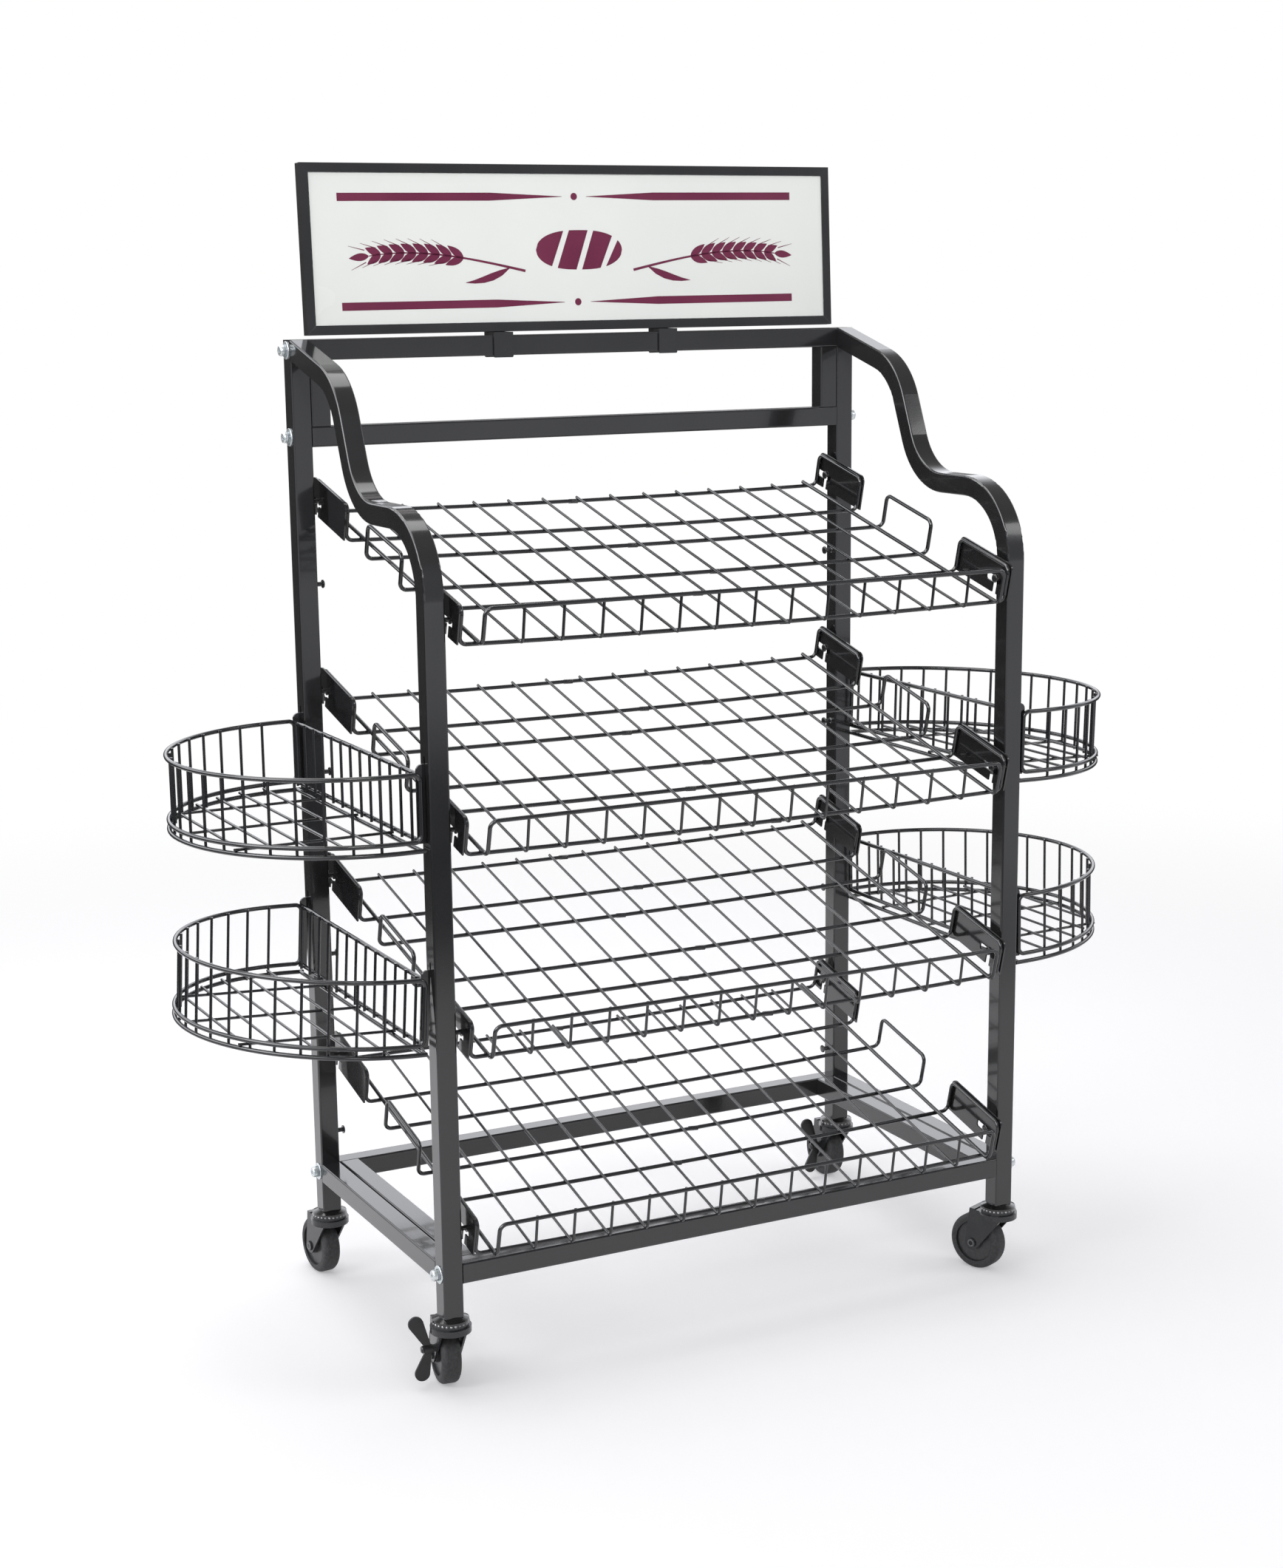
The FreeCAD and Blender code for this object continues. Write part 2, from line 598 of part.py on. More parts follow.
def frame_bolt(side, end, z):
    """A round-headed bolt with a hexagon socket; its shank reaches the plug in the rail end."""
    under_head = "(Sizes.flat_washer_thickness + Sizes.spring_washer_thickness)"
    head_radius = "Sizes.bolt_head_diameter / 2"
    head = bolt_stack(side, end, z, under_head, head_radius, "Sizes.bolt_head_height")
    shank = bolt_stack(side, end, z, "(-Sizes.bolt_grip)", "Sizes.bolt_diameter / 2",
                       f"Sizes.bolt_grip + {under_head} + Sizes.bolt_head_height / 2")
    blank = combine("Part::MultiFuse", [head, shank])
    socket = document.addObject("Part::Prism", "Socket")
    socket.Polygon = 6
    socket.Placement = Placement(Vector(), outward(side))
    rise = f"{under_head} + Sizes.bolt_head_height - Sizes.bolt_socket_depth"
    bind(socket, Circumradius="Sizes.bolt_socket_width / sqrt(3)")
    bind(socket, Height="2 * Sizes.bolt_socket_depth")
    bind(socket, Placement__Base__x=f"{side} * (Layout.outer_x + {rise})")
    bind(socket, Placement__Base__y=f"{end} * Layout.post_y", Placement__Base__z=z)
    return cut(blank, [socket])


def rail_plug(side, end, z):
    """A threaded block in the end of a rail, just inside the post."""
    half = "Layout.inner_tube / 2"
    length = "Sizes.rail_plug_length"
    x = f"{side} * (Layout.inner_x - {length} / 2) - {length} / 2"
    block = box(length, "Layout.inner_tube", "Layout.inner_tube", x,
                f"{end} * Layout.post_y - {half}", f"{z} - {half}")
    corners = document.addObject("Part::Fillet", "PlugCorners")
    corners.Base = block
    document.recompute()
    radius = get("inner_corner")
    corners.Edges = [(number, radius, radius) for number in long_edges(block.Shape)]
    hole = cylinder("Sizes.bolt_diameter / 2", length, f"{side} * Layout.inner_x",
                    f"{end} * Layout.post_y", z, outward(-side))
    return cut(corners, [hole])


def long_edges(shape):
    """Numbers of the straight edges that run across the rack."""
    numbers = []
    for number, edge in enumerate(shape.Edges, 1):
        along = edge.tangentAt(edge.FirstParameter)
        if abs(along.x) > 0.999:
            numbers.append(number)
    return numbers


WASHER_BORE = "Sizes.bolt_diameter / 2 + Sizes.bolt_play"


def flat_washer(side, end, z):
    """A wide washer on the post's outer face."""
    return bolt_stack(side, end, z, "0", "Sizes.flat_washer_diameter / 2",
                      "Sizes.flat_washer_thickness", WASHER_BORE)


def spring_washer(side, end, z):
    """A spring washer, pressed flat between the wide washer and the bolt's head."""
    return bolt_stack(side, end, z, "Sizes.flat_washer_thickness",
                      "Sizes.spring_washer_diameter / 2", "Sizes.spring_washer_thickness",
                      WASHER_BORE)


for label, fastener in (("frame_bolts", frame_bolt), ("flat_washers", flat_washer),
                        ("spring_washers", spring_washer), ("rail_plugs", rail_plug)):
    pieces = [fastener(*place) for place in bolt_places()]
    seat(combine("Part::Compound", pieces), label)


def stud(side, end, z):
    """A headed stud, welded to the inner face of a post."""
    y = f"{end} * Layout.post_y"
    inward = outward(-side)
    shank = cylinder("Sizes.stud_diameter / 2", "Layout.stud_shank",
                     f"{side} * Layout.inner_x", y, z, inward)
    head = cylinder("Sizes.stud_head_diameter / 2", "Sizes.stud_head_thickness",
                    f"{side} * (Layout.inner_x - Layout.stud_shank)", y, z, inward)
    return combine("Part::MultiFuse", [shank, head])


shelf_numbers = range(int(get("shelf_count")))
studs = []
for side in SIDES.values():
    for number in shelf_numbers:
        level = f"Layout.first_stud_z + {number} * Sizes.shelf_pitch"
        studs.append(stud(side, -1, level))
        studs.append(stud(side, 1, level))
        studs.append(stud(side, 1, f"{level} + Sizes.shelf_rise"))
seat(combine("Part::Compound", studs), "shelf_studs")


# ---- Shelves --------------------------------------------------------------------------------
# A shelf is built flat: X across the rack, Y up the slope from the front studs, Z square to it.

def bent_path(corners, bends):
    """Straight runs joined by tangent arcs of the given radii, through corners in space."""
    edges = []
    start = corners[0]
    for bend, before, corner, after in zip(bends, corners, corners[1:], corners[2:]):
        arc_start, middle, arc_end = tangent_arc(before, corner, after, bend)
        edges.append(Part.LineSegment(start, arc_start).toShape())
        edges.append(Part.Arc(arc_start, middle, arc_end).toShape())
        start = arc_end
    edges.append(Part.LineSegment(start, corners[-1]).toShape())
    return Part.Wire(edges)


def round_bar(path, diameter):
    """Wire stock swept along a path, with flat ends."""
    first = path.Edges[0]
    start = first.valueAt(first.FirstParameter)
    along = first.tangentAt(first.FirstParameter)
    section = Part.Wire(Part.makeCircle(diameter / 2, start, along))
    return path.makePipeShell([section], True, False)


def mirror_x(shape):
    return shape.mirror(Vector(), Vector(1, 0, 0))


def mirror_y(shape):
    return shape.mirror(Vector(), Vector(0, 1, 0))


def wire_work(solids):
    """A sub-part of welded wire, from solids made in its own frame."""
    feature = document.addObject("Part::Feature", "WireWork")
    feature.Shape = Part.makeCompound(solids)
    return feature


def shelf_slope():
    return "atan(Sizes.shelf_rise / Layout.stud_span)"


def shelf_reach():
    """Front studs to rear studs, along the slope."""
    return math.hypot(get("stud_span"), get("shelf_rise"))


def loop_starts():
    """Front cross wire of each of the three loops, up the slope."""
    first = -get("loop_front_overhang")
    last = shelf_reach() + get("loop_rear_overhang") - get("loop_width")
    return [first, (first + last) / 2, last]


def sag_reach():
    """Half the length of the gentle curve in each cross wire."""
    return get("loop_end_x") - 2 * get("loop_bend_radius")


def sag_turn():
    """Angle of each cross wire to the level at the ends of its gentle curve."""
    return math.atan(get("shelf_sag") / (get("loop_end_x") - sag_reach() / 2))


def sag_radius():
    """Radius of the gentle curve; its ends lie half a turn from its corner."""
    return sag_reach() / 2 / math.tan(sag_turn() / 2)


def cross_wire_level(x):
    """Middle of the cross wires at a distance from the middle of the shelf."""
    radius = sag_radius()
    return radius - get("loop_drop") - get("shelf_sag") - math.sqrt(radius ** 2 - x ** 2)


def shelf_loops():
    """Closed loops of heavy wire, with their ends turned up square to the shelf."""
    loops = []
    end_x = get("loop_end_x")
    low = -get("loop_drop")
    high = get("loop_end_rise")
    middle = low - get("shelf_sag")
    tight = get("loop_bend_radius")
    gentle = sag_radius()
    corner_x = sag_reach() / 2
    for front in loop_starts():
        rear = front + get("loop_width")
        corners = [
            Vector(-corner_x, front, middle), Vector(corner_x, front, middle),
            Vector(end_x, front, low), Vector(end_x, front, high),
            Vector(end_x, rear, high), Vector(end_x, rear, low),
            Vector(corner_x, rear, middle), Vector(-corner_x, rear, middle),
        ]
        bends = (gentle, tight, tight, tight, tight, gentle)
        half = round_bar(trimmed_path(corners, bends), get("shelf_wire"))
        loops.append(half.fuse(mirror_x(half)).removeSplitter())
    return loops


def trimmed_path(corners, bends):
    """A bent path without its first and last straight runs, which its outer bends use up."""
    return Part.Wire(bent_path(corners, bends).OrderedEdges[1:-1])


def shelf_grid():
    """Long wires on top of the loops; at the front they rise to the lip wire."""
    thick = get("shelf_wire")
    thin = get("shelf_thin_wire")
    half = get("grid_x")
    front = loop_starts()[0]
    rear = loop_starts()[2] + get("loop_width") + get("grid_rear_overhang")
    foot_y = front - thick / 2 - get("lip_gap") - thin / 2
    top_y = foot_y + get("lip_lean")
    lip_y = top_y - (thin + thick) / 2
    lip = get("lip_height")
    level = cross_wire_level(half) + thick
    corners = [
        Vector(-half, rear, level), Vector(-half, foot_y, level), Vector(-half, lip_y, lip),
        Vector(half, lip_y, lip), Vector(half, foot_y, level), Vector(half, rear, level),
    ]
    wires = [round_bar(bent_path(corners, 4 * [get("lip_bend_radius")]), thick)]
    count = int(get("grid_intervals"))
    for number in range(1, count):
        x = -half + 2 * half * number / count
        level = cross_wire_level(x) + (thick + thin) / 2
        corners = [Vector(x, rear, level), Vector(x, foot_y, level), Vector(x, top_y, lip)]
        wires.append(round_bar(bent_path(corners, [get("thin_bend_radius")]), thin))
    return wires


def keyhole_plate(side, loop_front, stud_y):
    """A hanger plate that fills a loop end; it drops over a stud through its open keyhole."""
    margin = get("hanger_margin")
    thickness = get("hanger_thickness")
    x = get("hanger_x") - thickness
    low = -get("hanger_lower_edge")
    high = get("loop_end_rise") + margin
    front = loop_front - margin
    depth = get("loop_width") + 2 * margin
    plate = Part.makeBox(thickness, depth, high - low, Vector(x, front, low))
    upper = [edge for edge in plate.Edges
             if abs(edge.tangentAt(edge.FirstParameter).x) > 0.999 and edge.CenterOfMass.z > 0]
    plate = plate.makeFillet(get("hanger_corner"), upper)
    roof = get("stud_diameter") / 2 + get("keyhole_play")
    height = get("keyhole_height")
    start = stud_y - get("keyhole_front_reach")
    length = get("keyhole_front_reach") + get("keyhole_rear_reach")
    chamber = Part.makeBox(thickness, length, height, Vector(x, start, roof - height))
    ends = [edge for edge in chamber.Edges if abs(edge.tangentAt(edge.FirstParameter).x) > 0.999]
    chamber = chamber.makeFillet(get("keyhole_corner"), ends)
    mouth = get("keyhole_mouth")
    opening = Part.makeBox(thickness, mouth, roof - height / 2 - low,
                           Vector(x, stud_y - mouth / 2, low))
    plate = plate.cut(chamber.fuse(opening)).Solids[0]
    return plate if side > 0 else mirror_x(plate)


def shelf_hangers():
    starts = loop_starts()
    plates = []
    for side in SIDES.values():
        plates.append(keyhole_plate(side, starts[0], 0))
        plates.append(keyhole_plate(side, starts[2], shelf_reach()))
    return plates


for number in shelf_numbers:
    level = f"Layout.first_stud_z + {number} * Sizes.shelf_pitch"
    for part, solids in (("loops", shelf_loops()), ("grid", shelf_grid()),
                         ("hangers", shelf_hangers())):
        seat(wire_work(solids), f"shelf_{number + 1}_{part}", "0", "-Layout.post_y", level,
             ABOUT_X, shelf_slope())


# ---- Side baskets ---------------------------------------------------------------------------
# A basket is built with X out from the post's outer face and Z up from the middle of its rim.

def arc_edge(centre, radius, start, end):
    """A level arc about a centre, between two angles in degrees from +X."""
    points = []
    for angle in (start, (start + end) / 2, end):
        turned = math.radians(angle)
        points.append(centre + Vector(math.cos(turned), math.sin(turned), 0) * radius)
    return Part.Arc(*points).toShape()


def basket_rings():
    """Rim, end wires and bottom ring in one closed wire, the lower ring and the back rails."""
    wire = get("basket_wire")
    radius = get("basket_end_y")
    corner = get("basket_corner")
    end_x = get("basket_standoff")
    floor = -get("basket_wall_height")
    straight = Vector(get("basket_straight"), 0, 0)
    centre = Vector(end_x + corner, 0, 0) + straight
    down = Vector(0, 0, floor)
    rim_end = centre + Vector(0, -radius, 0)
    rim_start = rim_end - straight
    turn = corner * (1 - math.sqrt(0.5))
    top = Vector(end_x, -radius, -corner)
    foot = Vector(end_x, -radius, floor + corner)
    edges = [
        arc_edge(centre, radius, 0, -90),
        Part.LineSegment(rim_end, rim_start).toShape(),
        Part.Arc(rim_start, Vector(end_x + turn, -radius, -turn), top).toShape(),
        Part.LineSegment(top, foot).toShape(),
        Part.Arc(foot, Vector(end_x + turn, -radius, floor + turn), rim_start + down).toShape(),
        Part.LineSegment(rim_start + down, rim_end + down).toShape(),
        arc_edge(centre + down, radius, -90, 0),
    ]
    half = round_bar(Part.Wire(edges), wire)
    lower = floor - get("basket_ring_drop")
    below = centre + Vector(0, 0, lower)
    open_end = Vector(get("basket_ring_setback"), -radius, lower)
    lower_edges = [
        Part.LineSegment(open_end, below + Vector(0, -radius, 0)).toShape(),
        arc_edge(below, radius, -90, 0),
    ]
    lower_half = round_bar(Part.Wire(lower_edges), wire)
    rings = [half.fuse(mirror_y(half)).removeSplitter(),
             lower_half.fuse(mirror_y(lower_half)).removeSplitter()]
    strip_face = get("post_y") - get("hook_thickness") / 2
    rails = ((-get("basket_back_drop"), strip_face), (floor, strip_face),
             (lower, radius - wire / 2))
    for level, reach in rails:
        start = Vector(end_x, -reach, level)
        rings.append(Part.makeCylinder(wire / 2, 2 * reach, start, Vector(0, 1, 0)))
    return rings


def basket_wires():
    """Thin uprights round the curve and across the back, floor ribs and floor wires."""
    heavy = get("basket_wire") / 2
    thin = get("basket_thin_wire") / 2
    radius = get("basket_end_y")
    centre_x = get("basket_standoff") + get("basket_corner") + get("basket_straight")
    floor = -get("basket_wall_height")
    lower = floor - get("basket_ring_drop")
    upright_radius = radius - heavy - thin
    up = Vector(0, 0, 1)
    wires = []
    count = int(get("basket_curve_count"))
    for number in range(1, count + 1):
        angle = math.radians(-90 + 180 * number / (count + 1))
        foot = Vector(centre_x + upright_radius * math.cos(angle),
                      upright_radius * math.sin(angle), lower - thin)
        wires.append(Part.makeCylinder(thin, thin + heavy / 2 - lower, foot, up))
    back_x = get("basket_standoff") + heavy + thin
    back_count = int(get("basket_back_count"))
    for number in range(back_count):
        y = (number - (back_count - 1) / 2) * get("basket_back_pitch")
        foot = Vector(back_x, y, floor - heavy)
        wires.append(Part.makeCylinder(thin, 2 * heavy - floor - get("basket_back_drop"), foot, up))
    rib_level = lower + heavy + thin
    inner_radius = upright_radius - thin
    rib_start = get("basket_standoff") - heavy
    for number in (-1, 0, 1):
        y = number * get("basket_rib_spacing")
        reach = radius + heavy if number else inner_radius
        length = centre_x + math.sqrt(reach ** 2 - y ** 2) - rib_start
        wires.append(Part.makeCylinder(thin, length, Vector(rib_start, y, rib_level),
                                       Vector(1, 0, 0)))
    offset = get("basket_floor_pitch")
    while offset < inner_radius - 2 * heavy:
        reach = math.sqrt((inner_radius - 2 * thin) ** 2 - offset ** 2)
        start = Vector(centre_x + offset, -reach, rib_level + 2 * thin)
        wires.append(Part.makeCylinder(thin, 2 * reach, start, Vector(0, 1, 0)))
        offset += get("basket_floor_pitch")
    return wires


def basket_hooks():
    """End strips, each with a tongue that passes into the post and hooks down behind its wall."""
    thickness = get("hook_thickness")
    seam = get("hook_seam")
    wall = get("tube_wall") + get("hook_tip_gap")
    top = get("hook_rise")
    tongue = get("hook_tongue_height")
    low = -get("basket_wall_height") - get("basket_wire") / 2
    y = get("post_y") - thickness / 2
    strip = Part.makeBox(get("hook_width"), thickness, top - low, Vector(seam, y, low))
    outer = [edge for edge in strip.Edges
             if abs(edge.tangentAt(edge.FirstParameter).y) > 0.999
             and edge.CenterOfMass.z > 0 and edge.CenterOfMass.x > get("hook_width") / 2]
    strip = strip.makeFillet(get("hook_corner"), outer)
    reach = get("hook_reach")
    bridge = Part.makeBox(reach + seam, thickness, tongue, Vector(-reach, y, top - tongue))
    drop = get("hook_tip_drop") + tongue
    tip = Part.makeBox(reach - wall, thickness, drop, Vector(-reach, y, top - drop))
    hook = strip.fuse([bridge, tip]).removeSplitter()
    return [hook, mirror_y(hook)]


def hung(solids, lean):
    """The basket leaning about its hooks; one that leans out rests its foot on the post."""
    height = get("hook_rise") + get("basket_wall_height") + get("basket_wire") / 2
    stand_out = max(0, height * math.sin(math.radians(-lean)))
    for solid in solids:
        solid.rotate(Vector(get("hook_seam"), 0, get("hook_rise")), Vector(0, 1, 0), -lean)
        solid.translate(Vector(stand_out, 0, 0))
    return solids


basket_parts = {"rings": basket_rings, "wires": basket_wires, "hooks": basket_hooks}
for row, rim in basket_rims().items():
    for name, side in SIDES.items():
        half_turn = Rotation(Vector(0, 0, 1), 0 if side > 0 else 180)
        lean = get(f"basket_{row}_{name}_lean")
        for part, build in basket_parts.items():
            seat(wire_work(hung(build(), lean)), f"basket_{row}_{name}_{part}",
                 f"{side} * Layout.outer_x", "0", rim, half_turn)


# ---- Header sign ----------------------------------------------------------------------------

def sign_frame():
    outer = box("Layout.sign_width", "Sizes.sign_depth", "Sizes.sign_height",
                "-Layout.sign_width / 2")
    opening = box("Layout.sign_width - 2 * Sizes.sign_border", "2 * Sizes.sign_depth",
                  "Sizes.sign_height - 2 * Sizes.sign_border",
                  "Sizes.sign_border - Layout.sign_width / 2", "-Sizes.sign_depth / 2",
                  "Sizes.sign_border")
    return cut(outer, [opening])


def sign_panel():
    return box("Layout.sign_width - 2 * Sizes.sign_border", "Sizes.sign_panel_thickness",
               "Sizes.sign_height - 2 * Sizes.sign_border",
               "Sizes.sign_border - Layout.sign_width / 2", "Sizes.sign_lip_depth",
               "Sizes.sign_border")


def saddle_clip(side):
    """A clip that sits over the upper rail and reaches a little below it, front and back."""
    left = f"{side} * Sizes.clip_spacing / 2 - Sizes.clip_width / 2"
    front = "Layout.inner_y - Sizes.clip_play"
    span = "Sizes.tube_side + 2 * Sizes.clip_play"
    foot = "Layout.upper_rail_z - Sizes.clip_overlap"
    block = box("Sizes.clip_width", f"{span} + 2 * Sizes.clip_thickness",
                f"Layout.clip_top - ({foot})", left, f"{front} - Sizes.clip_thickness", foot)
    gap = box("Sizes.clip_width", span,
              "Sizes.tube_side + Sizes.clip_overlap + Sizes.clip_play", left, front, foot)
    saddle = cut(block, [gap])
    document.recompute()
    rounded = document.addObject("Part::Fillet", "ClipToes")
    rounded.Base = saddle
    radius = get("clip_toe_radius")
    lowest = saddle.Shape.BoundBox.ZMin
    edges = []
    for number, edge in enumerate(saddle.Shape.Edges, 1):
        across = abs(edge.tangentAt(edge.FirstParameter).y) > 0.999
        if across and edge.BoundBox.ZMax < lowest + 0.001:
            edges.append((number, radius, radius))
    rounded.Edges = edges
    return rounded


lean = "-Sizes.sign_lean"
sign_y = "Layout.inner_y + Sizes.sign_setback"
sign_z = "Layout.clip_top + Sizes.sign_depth * sin(Sizes.sign_lean)"
seat(sign_frame(), "sign_frame", "0", sign_y, sign_z, ABOUT_X, lean)
seat(combine("Part::Compound", [sign_panel()]), "sign_panel", "0", sign_y, sign_z, ABOUT_X,
     lean)
seat(combine("Part::Compound", [saddle_clip(side) for side in SIDES.values()]), "sign_clips")


# ---- Casters --------------------------------------------------------------------------------
# A caster is built with its swivel pin on Z, the floor at Z = 0 and its wheel trailing along +X.

def caster_mount(side, end):
    """Plug in the post, bell-shaped upper race, swivel pin and its riveted end."""
    x = f"{side} * Layout.post_x"
    y = f"{end} * Layout.post_y"
    plug = cylinder("Layout.inner_tube / 2", "Sizes.stem_plug_length", x, y,
                    "Sizes.caster_height")
    bell = document.addObject("Part::Cone", "Bell")
    bind(bell, Radius1="Sizes.race_diameter / 2", Radius2="Sizes.race_neck_diameter / 2")
    bind(bell, Height="Sizes.race_height - Sizes.race_band")
    bind(bell, Placement__Base__x=x, Placement__Base__y=y)
    bind(bell, Placement__Base__z="Layout.race_foot_z + Sizes.race_band")
    band = cylinder("Sizes.race_diameter / 2", "Sizes.race_band", x, y, "Layout.race_foot_z")
    rivet_top = "Layout.crown_foot_z - Sizes.race_gap"
    pin = cylinder("Sizes.swivel_pin_diameter / 2", f"Layout.race_foot_z - ({rivet_top})",
                   x, y, rivet_top)
    rivet = cylinder("Sizes.swivel_rivet_diameter / 2", "Sizes.swivel_rivet_height", x, y,
                     f"{rivet_top} - Sizes.swivel_rivet_height")
    return combine("Part::MultiFuse", [plug, bell, band, pin, rivet])


corners = [(side, end) for side in SIDES.values() for end in ENDS.values()]
mounts = [caster_mount(side, end) for side, end in corners]
seat(combine("Part::Compound", mounts), "caster_mounts")


def tangent_point(start, centre, radius, turn):
    """Where a line from a point touches a circle in the XZ plane, on the side given by turn."""
    offset = start - centre
    angle = math.atan2(offset.z, offset.x) + turn * math.acos(radius / offset.Length)
    return centre + Vector(math.cos(angle), 0, math.sin(angle)) * radius


def fork_leg(side):
    """A tapered plate from the crown down to a round boss at the axle."""
    top = get("crown_top_z")
    axle = Vector(get("caster_trail"), 0, get("axle_z"))
    radius = get("fork_boss_radius")
    front = -get("fork_leg_front")
    front_top = Vector(front, 0, top)
    shoulder = Vector(front, 0, top - get("fork_shoulder"))
    rear_top = Vector(get("fork_leg_rear"), 0, top)
    front_touch = tangent_point(shoulder, axle, radius, 1)
    rear_touch = tangent_point(rear_top, axle, radius, -1)
    outline = [
        Part.LineSegment(front_top, shoulder).toShape(),
        Part.LineSegment(shoulder, front_touch).toShape(),
        Part.Arc(front_touch, axle - Vector(0, 0, radius), rear_touch).toShape(),
        Part.LineSegment(rear_touch, rear_top).toShape(),
        Part.LineSegment(rear_top, front_top).toShape(),
    ]
    thickness = get("fork_thickness")
    plate = Part.Face(Part.Wire(outline)).extrude(Vector(0, thickness, 0))
    inside = get("fork_gap") / 2
    plate.translate(Vector(0, inside if side > 0 else -inside - thickness, 0))
    return plate


def fork_body():
    """Crown with its front skirt and raised rear end, lower race and two legs, all bored."""
    thickness = get("fork_thickness")
    foot = get("crown_foot_z")
    radius = get("fork_crown_diameter") / 2
    crown = Part.makeCylinder(radius, thickness, Vector(0, 0, foot))
    outside = get("leg_outside")
    rear = get("fork_leg_rear")
    deck = Part.makeBox(rear, 2 * outside, thickness, Vector(0, -outside, foot))
    hood_front = get("fork_hood_front")
    hood = Part.makeBox(rear - hood_front, 2 * outside, thickness + get("fork_hood_rise"),
                        Vector(hood_front, -outside, foot))
    drop = get("fork_skirt_drop")
    skirt = Part.makeCylinder(radius, drop, Vector(0, 0, foot - drop + thickness))
    inside = Part.makeCylinder(radius - get("fork_skirt_thickness"), drop,
                               Vector(0, 0, foot - drop + thickness))
    open_rear = Part.makeBox(radius, 2 * radius, drop,
                             Vector(get("fork_skirt_reach"), -radius, foot - drop + thickness))
    skirt = skirt.cut([inside, open_rear])
    race = Part.makeCylinder(get("lower_race_diameter") / 2, get("lower_race_height"),
                             Vector(0, 0, get("crown_top_z")))
    bore_radius = get("swivel_pin_diameter") / 2 + get("axle_play")
    swivel_bore = Part.makeCylinder(bore_radius, 2 * get("caster_height"))
    axle_bore = Part.makeCylinder(get("axle_diameter") / 2, 2 * outside,
                                  Vector(get("caster_trail"), -outside, get("axle_z")),
                                  Vector(0, 1, 0))
    shape = crown.fuse([deck, hood, skirt, race, fork_leg(-1), fork_leg(1)])
    return shape.cut([swivel_bore, axle_bore]).removeSplitter().Solids[0]


def axle_bolt():
    outside = get("leg_outside")
    head = get("axle_head_thickness")
    across = Vector(0, 1, 0)
    start = Vector(get("caster_trail"), -outside, get("axle_z"))
    shank = Part.makeCylinder(get("axle_diameter") / 2, 2 * outside, start, across)
    radius = get("axle_head_diameter") / 2
    near = Part.makeCylinder(radius, head, start - across * head, across)
    far = Part.makeCylinder(radius, head, start + across * 2 * outside, across)
    return shank.fuse([near, far]).removeSplitter().Solids[0]


def lever_face():
    """Inner end of the lever's barrel, outside the axle's head."""
    return get("leg_outside") + get("axle_head_thickness") + get("lever_play")


def lever_pivot():
    return Vector(get("lever_trail"), lever_face(), get("lever_height"))


def lever_pin():
    """Shoulder, pin and head that carry the brake lever on the fork leg."""
    across = Vector(0, 1, 0)
    play = get("lever_play")
    start = lever_pivot() - across * (lever_face() - get("leg_outside"))
    shoulder_length = lever_face() - play - get("leg_outside")
    pin_length = shoulder_length + get("lever_hub_length") + 2 * play
    shoulder = Part.makeCylinder(get("lever_shoulder_diameter") / 2, shoulder_length, start,
                                 across)
    pin = Part.makeCylinder(get("lever_pin_diameter") / 2, pin_length, start, across)
    head = Part.makeCylinder(get("lever_head_diameter") / 2, get("lever_head_height"),
                             start + across * pin_length, across)
    rim = max(head.Edges, key=lambda edge: edge.CenterOfMass.y)
    head = head.makeFillet(get("lever_head_dome"), [rim])
    return shoulder.fuse([pin, head]).removeSplitter().Solids[0]


def paddle(spread, rise):
    """A flat arm square to the wheel, from its round root to a larger round end."""
    root = Vector(0, get("lever_root_offset"), 0)
    end = Vector(0, spread, rise)
    root_radius = get("lever_root_radius")
    end_radius = get("lever_lobe_radius")
    along = end - root
    spin = math.acos((root_radius - end_radius) / along.Length)
    points = []
    for turn in (spin, -spin):
        aside = Rotation(Vector(1, 0, 0), math.degrees(turn)).multVec(along).normalize()
        points.append((root + aside * root_radius, end + aside * end_radius))
    (root_left, end_left), (root_right, end_right) = points
    outward_end = end + along.normalize() * end_radius
    outline = [
        Part.LineSegment(root_left, end_left).toShape(),
        Part.Arc(end_left, outward_end, end_right).toShape(),
        Part.LineSegment(end_right, root_right).toShape(),
        Part.Arc(root_right, root - along.normalize() * root_radius, root_left).toShape(),
    ]
    thickness = get("lever_thickness")
    plate = Part.Face(Part.Wire(outline)).extrude(Vector(thickness, 0, 0))
    plate.translate(Vector(-thickness / 2, 0, 0))
    return plate


def brake_lever():
    """A barrel on the pivot pin with an upper and a lower paddle that lean outwards."""
    across = Vector(0, 1, 0)
    length = get("lever_hub_length")
    barrel = Part.makeCylinder(get("lever_hub_radius"), length, Vector(), across)
    upper = paddle(get("lever_upper_spread"), get("lever_upper_rise"))
    lower = paddle(get("lever_lower_spread"), -get("lever_lower_fall"))
    bore_radius = get("lever_pin_diameter") / 2 + get("axle_play")
    hole = Part.makeCylinder(bore_radius, 2 * length, -across * length / 2, across)
    lever = barrel.fuse([upper, lower]).cut(hole).removeSplitter().Solids[0]
    lever.translate(lever_pivot())
    return lever


def across_wheel(radius, width):
    """A disc centred on the axle."""
    return cylinder(radius, width, "Sizes.caster_trail", f"-({width}) / 2", "Layout.axle_z",
                    ALONG_Y)


